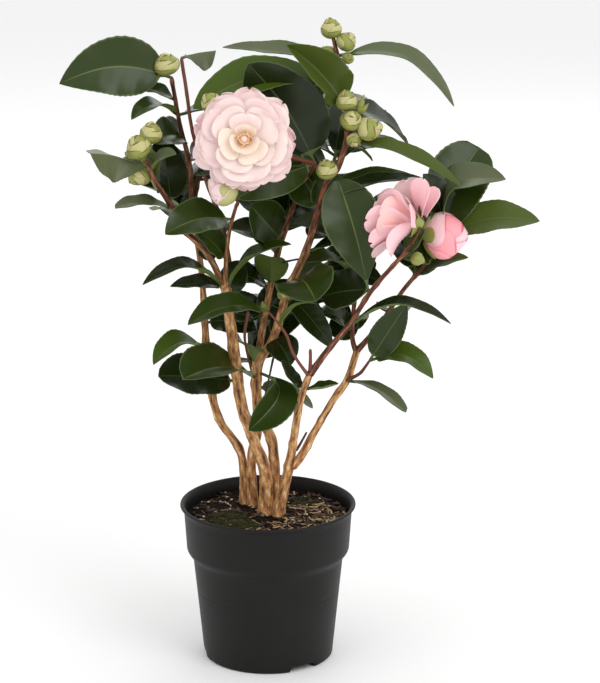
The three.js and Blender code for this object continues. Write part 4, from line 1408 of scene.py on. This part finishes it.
# %% The side bloom, the half-open bloom and the pink bud
SIDE_BLOOM_AT = np.array([126, -56, 392])
SIDE_BLOOM_AXIS = (-0.93, -0.12, 0.26)
HALF_BLOOM_AT = np.array([130, -13, 372])
HALF_BLOOM_AXIS = (1, -0.12, 0.05)
HALF_BLOOM_RADIUS, HALF_BLOOM_LENGTH = 18, 37
PINK_BUD_AT = np.array([-25, -51, 411])
PINK_BUD_AXIS = (-0.75, -0.1, 0.62)
PINK_BUD_RADIUS, PINK_BUD_LENGTH = 11, 28

# Petals of the side bloom, each with its azimuth round the axis in degrees: 0 faces the same way
# as the open bloom, 90 is up, 180 is away and 270 is down.
# The dusky petals, those up and away and down, are painted shade.
SIDE_BLOOM_PETALS = [
    (125, "petal_dusk", petal(1, 38, 30, (58, 68), 0.2, 0.06, 0.05, roll=55)),
    (165, "petal_dusk", petal(2, 41, 33, (28, 38), 0.2, 0.04, 0.05, roll=15)),
    (205, "petal_salmon", petal(2, 40, 32, (22, 34), 0.24, 0.04, 0.05)),
    (235, "petal_salmon", petal(1, 42, 30, (36, 52), 0.2, 0.05, 0.06)),
    (185, "petal_salmon", petal(0, 37, 28, (70, 92), 0.2, 0.05, 0.06)),
    (110, "petal_salmon", petal(3, 37, 31, (18, 30), 0.3, 0.03, 0.04, roll=50)),
    (290, "petal_salmon", petal(3, 44, 30, (10, 6), 0.3, 0.05, 0.05, roll=60)),
    (280, "petal_salmon", petal(2, 43, 26, (28, 38), 0.2, 0.06, 0.05, roll=60)),
    (270, "petal_dusk", petal(1, 46, 17, (42, 52), 0.2, 0.05, 0.05, roll=50)),
    (5, "petal_rose", petal(3, 37, 34, (6, 26), 0.34, 0.03, 0.04)),
    (40, "petal_salmon", petal(1, 32, 27, (44, 66), 0.26, 0.04, 0.05, roll=25)),
    (80, "petal_salmon", petal(0, 38, 22, (64, 82), 0.3, 0.04, 0.04, roll=55)),
    (92, "petal_salmon", petal(-2, 30, 17, (84, 104), 0.3, 0.0, 0.04, roll=50)),
    (305, "petal_salmon", petal(0, 39, 29, (30, 76), 0.3, 0.04, 0.05, roll=35)),
]


def make_side_bloom():
    """Loose petals that open to the left, each turned one by one, with brown-green sepals."""
    rng = np.random.default_rng(BLOOM_SEED + 1)
    axes = bloom_axes(SIDE_BLOOM_AXIS)
    sheaf = Sheaf()
    add_ring(sheaf, petal(-3, 15, 13, (40, 60), 0.5, 0, 0), SEPALS, SIDE_BLOOM_AT, axes, 0.4,
             ("bud_green", "bud_brown"), rng)
    for azimuth, name, row in SIDE_BLOOM_PETALS:
        add_petal(sheaf, row, SIDE_BLOOM_AT, axes, math.radians(azimuth), name, rng)
    return sheaf.make("side_bloom", "foliage", "foliage_side_bloom")


def make_half_bloom():
    """A ball of broad petals that wrap over each other, with green sepals at its foot."""
    rng = np.random.default_rng(BLOOM_SEED + 2)
    axes = bloom_axes(HALF_BLOOM_AXIS)
    sheaf = Sheaf()
    add_bud(sheaf, HALF_BLOOM_AT, HALF_BLOOM_AXIS, HALF_BLOOM_RADIUS, HALF_BLOOM_LENGTH, rng,
            ("petal_pink", "petal_salmon"), scales=8, pointed=0.0, edge="petal_deep")
    add_ring(sheaf, petal(-1.5, 22, 14, (84, 24), 0.3, 0, 0, bend=1.5), SEPALS, HALF_BLOOM_AT,
             axes, 0.5, ("bud_green", "bud_cream"), rng)
    return sheaf.make("half_open_bloom", "foliage")


def make_pink_bud():
    """A bud that is just opening: green scales at the foot, pale pink petals at the tip."""
    rng = np.random.default_rng(BLOOM_SEED + 3)
    axes = bloom_axes(PINK_BUD_AXIS)
    sheaf = Sheaf()
    add_bud(sheaf, PINK_BUD_AT, PINK_BUD_AXIS, PINK_BUD_RADIUS, PINK_BUD_LENGTH, rng,
            ("bud_cream", "petal_rose", "petal_shell"), scales=8, pointed=0.5, edge="petal_shell")
    add_ring(sheaf, petal(0, 17, 13, (70, 8), 0.5, 0, 0, bend=0.8), SEPALS, PINK_BUD_AT, axes, 0.5,
             ("bud_green", "bud_cream"), rng)
    return sheaf.make("pink_bud", "foliage")


blooms = [make_open_bloom(), make_side_bloom(), make_half_bloom(), make_pink_bud()]
print("blooms:", [len(bloom.data.polygons) for bloom in blooms], "faces")

# %% [markdown]
# ## The far side of the crown
#
# The crown has to be full from every side, and nobody sets each leaf at the back by hand. A rule
# does it: leaves turn round a shoot by the golden angle, as they do on the plant, and each is
# tried in a few ways. Scattering them freely would be simplest, but it would close the gaps that
# make this shrub look light from the front, and leaves would cut through each other. So a leaf
# stays only if it hides behind what the front already shows and if its place is still free.

# %% What is taken already
CELL = 4.5                       # side of a cell of the front view, in mm
BLOCK = 7.0                      # side of a block of space that a leaf takes up, in mm
GRID_ORIGIN = np.array([-300.0, -300.0, -50.0])
GRID_STRIDE = 1000


def coded(cells):
    """One whole number for each row of whole numbers, so that rows can be looked up as a set."""
    code = np.zeros(len(cells), dtype=np.int64)
    for column in range(cells.shape[1]):
        code = code * GRID_STRIDE + cells[:, column]
    return code


def front_cells(points):
    """Cells of the upright plane through the pot's axis that points cover, seen by the camera.

    The line from the camera to a point meets the plane y = 0 at camera + (point - camera) times
    the ratio of the two distances in y.
    """
    away = points - CAMERA_AT
    shade = CAMERA_AT + away * (-CAMERA_AT[1] / away[:, 1])[:, None]
    return coded(np.floor((shade - GRID_ORIGIN)[:, [0, 2]] / CELL).astype(np.int64))


def blocks(points):
    """Blocks of space that points lie in."""
    return coded(np.floor((points - GRID_ORIGIN) / BLOCK).astype(np.int64))


def grown_points():
    """Every vertex of the leaves, buds and blooms so far, in mm."""
    found = []
    for thing in bpy.data.objects:
        if thing.name.startswith("leaves_") or thing in (buds, *blooms):
            flat = np.empty(3 * len(thing.data.vertices))
            thing.data.vertices.foreach_get("co", flat)
            found.append(flat.reshape(-1, 3) / MM)
    return np.concatenate(found)


grown = grown_points()
hidden_cells = np.unique(front_cells(grown))
taken_blocks = np.unique(blocks(grown))
print(len(grown), "points grown;", len(hidden_cells), "cells of the front are covered")

# %% Leaves by rule
FILL_SEED = 47
FILL_TRIES = 60
MOST_SHOWING = 0.03              # share of a leaf that may show past what the front covers
MOST_SHARED = 0.12               # share of a leaf that may lie in blocks already taken
FAR_BACK = 165.0                 # furthest back that a leaf may reach, in mm
GOLDEN_DEGREES = 137.5
FILL_SHOOTS = {
    "back_left": ("bough_back_left", 15, (0.2, 1.0), 90, 80),
    "back_middle": ("bough_back_middle", 15, (0.2, 1.0), 90, 85),
    "back_right": ("bough_back_right", 16, (0.15, 1.0), 80, 85),
    "back_low": ("bough_back_low", 12, (0.1, 1.0), 70, 80),
    "fill_left": ("stem_left", 12, (0.45, 1.0), 110, 80),
    "fill_main": ("stem_back", 14, (0.35, 1.0), 100, 100),
    "fill_centre": ("stem_centre", 18, (0.35, 0.86), 60, 90),
    "fill_right": ("bough_half_bloom", 12, (0.35, 1.0), 70, 80),
    "fill_inner": ("bough_right_inner", 8, (0.2, 1.0), 80, 80),
}


def fitting_leaf(shoot, share, facing, spread, turn, rng):
    """A leaf that hides from the front and is clear of the others, or None after some tries."""
    global taken_blocks
    root = shoot_point(shoot, share)
    for _ in range(FILL_TRIES):
        swing = ((turn + rng.uniform(-40, 40) + 180) % 360 - 180) / 180 * spread
        row = leaf(share, facing + swing, rng.uniform(-25, 45), rng.uniform(50, 82),
                   rng.uniform(27, 38), rng.uniform(-5, 40), arch=rng.uniform(0.05, 0.18),
                   fold=rng.uniform(8, 20), twist=rng.uniform(-12, 12),
                   belly=rng.uniform(0.4, 0.5), blunt=rng.uniform(0.7, 0.9))
        grid, blade = leaf_grid(row, root, rng)
        points = grid[blade > 0.15].reshape(-1, 3)
        showing = 1 - np.isin(front_cells(points), hidden_cells).mean()
        own = blocks(points)
        if (showing < MOST_SHOWING and np.isin(own, taken_blocks).mean() < MOST_SHARED
                and points[:, 1].max() < FAR_BACK):
            taken_blocks = np.union1d(taken_blocks, own)
            return row, root
    return None


def make_fill():
    """A piece of ruled leaves on each shoot; those of the back boughs replace their CAD masses."""
    rng = np.random.default_rng(FILL_SEED)
    kept = {}
    for name, (shoot, count, (low, high), facing, spread) in FILL_SHOOTS.items():
        sheaf = Sheaf()
        found = [fitting_leaf(shoot, share, facing, spread, i * GOLDEN_DEGREES, rng)
                 for i, share in enumerate(np.linspace(low, high, count))]
        found = [leaf_found for leaf_found in found if leaf_found]
        for row, root in found:
            add_leaf(sheaf, row, root, rng)
        replaced = ["foliage_" + name] if name.startswith("back_") else []
        sheaf.make("leaves_" + name, "foliage", *replaced)
        kept[name] = len(found)
    return kept


print("leaves by rule:", make_fill())

# %% [markdown]
# ## Size
#
# Both boxes, the imported model's and the dressed plant's, are printed, so that they can be
# compared. The dressed plant has to stay within the imported model's box, apart from a few
# millimetres.

# %% Write both sizes and finish
sizes = {
    "cad": [[float(number) for number in corner] for corner in cad_box],
    "visual": [[float(number) for number in corner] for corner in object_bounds()],
}
print("sizes:", sizes)
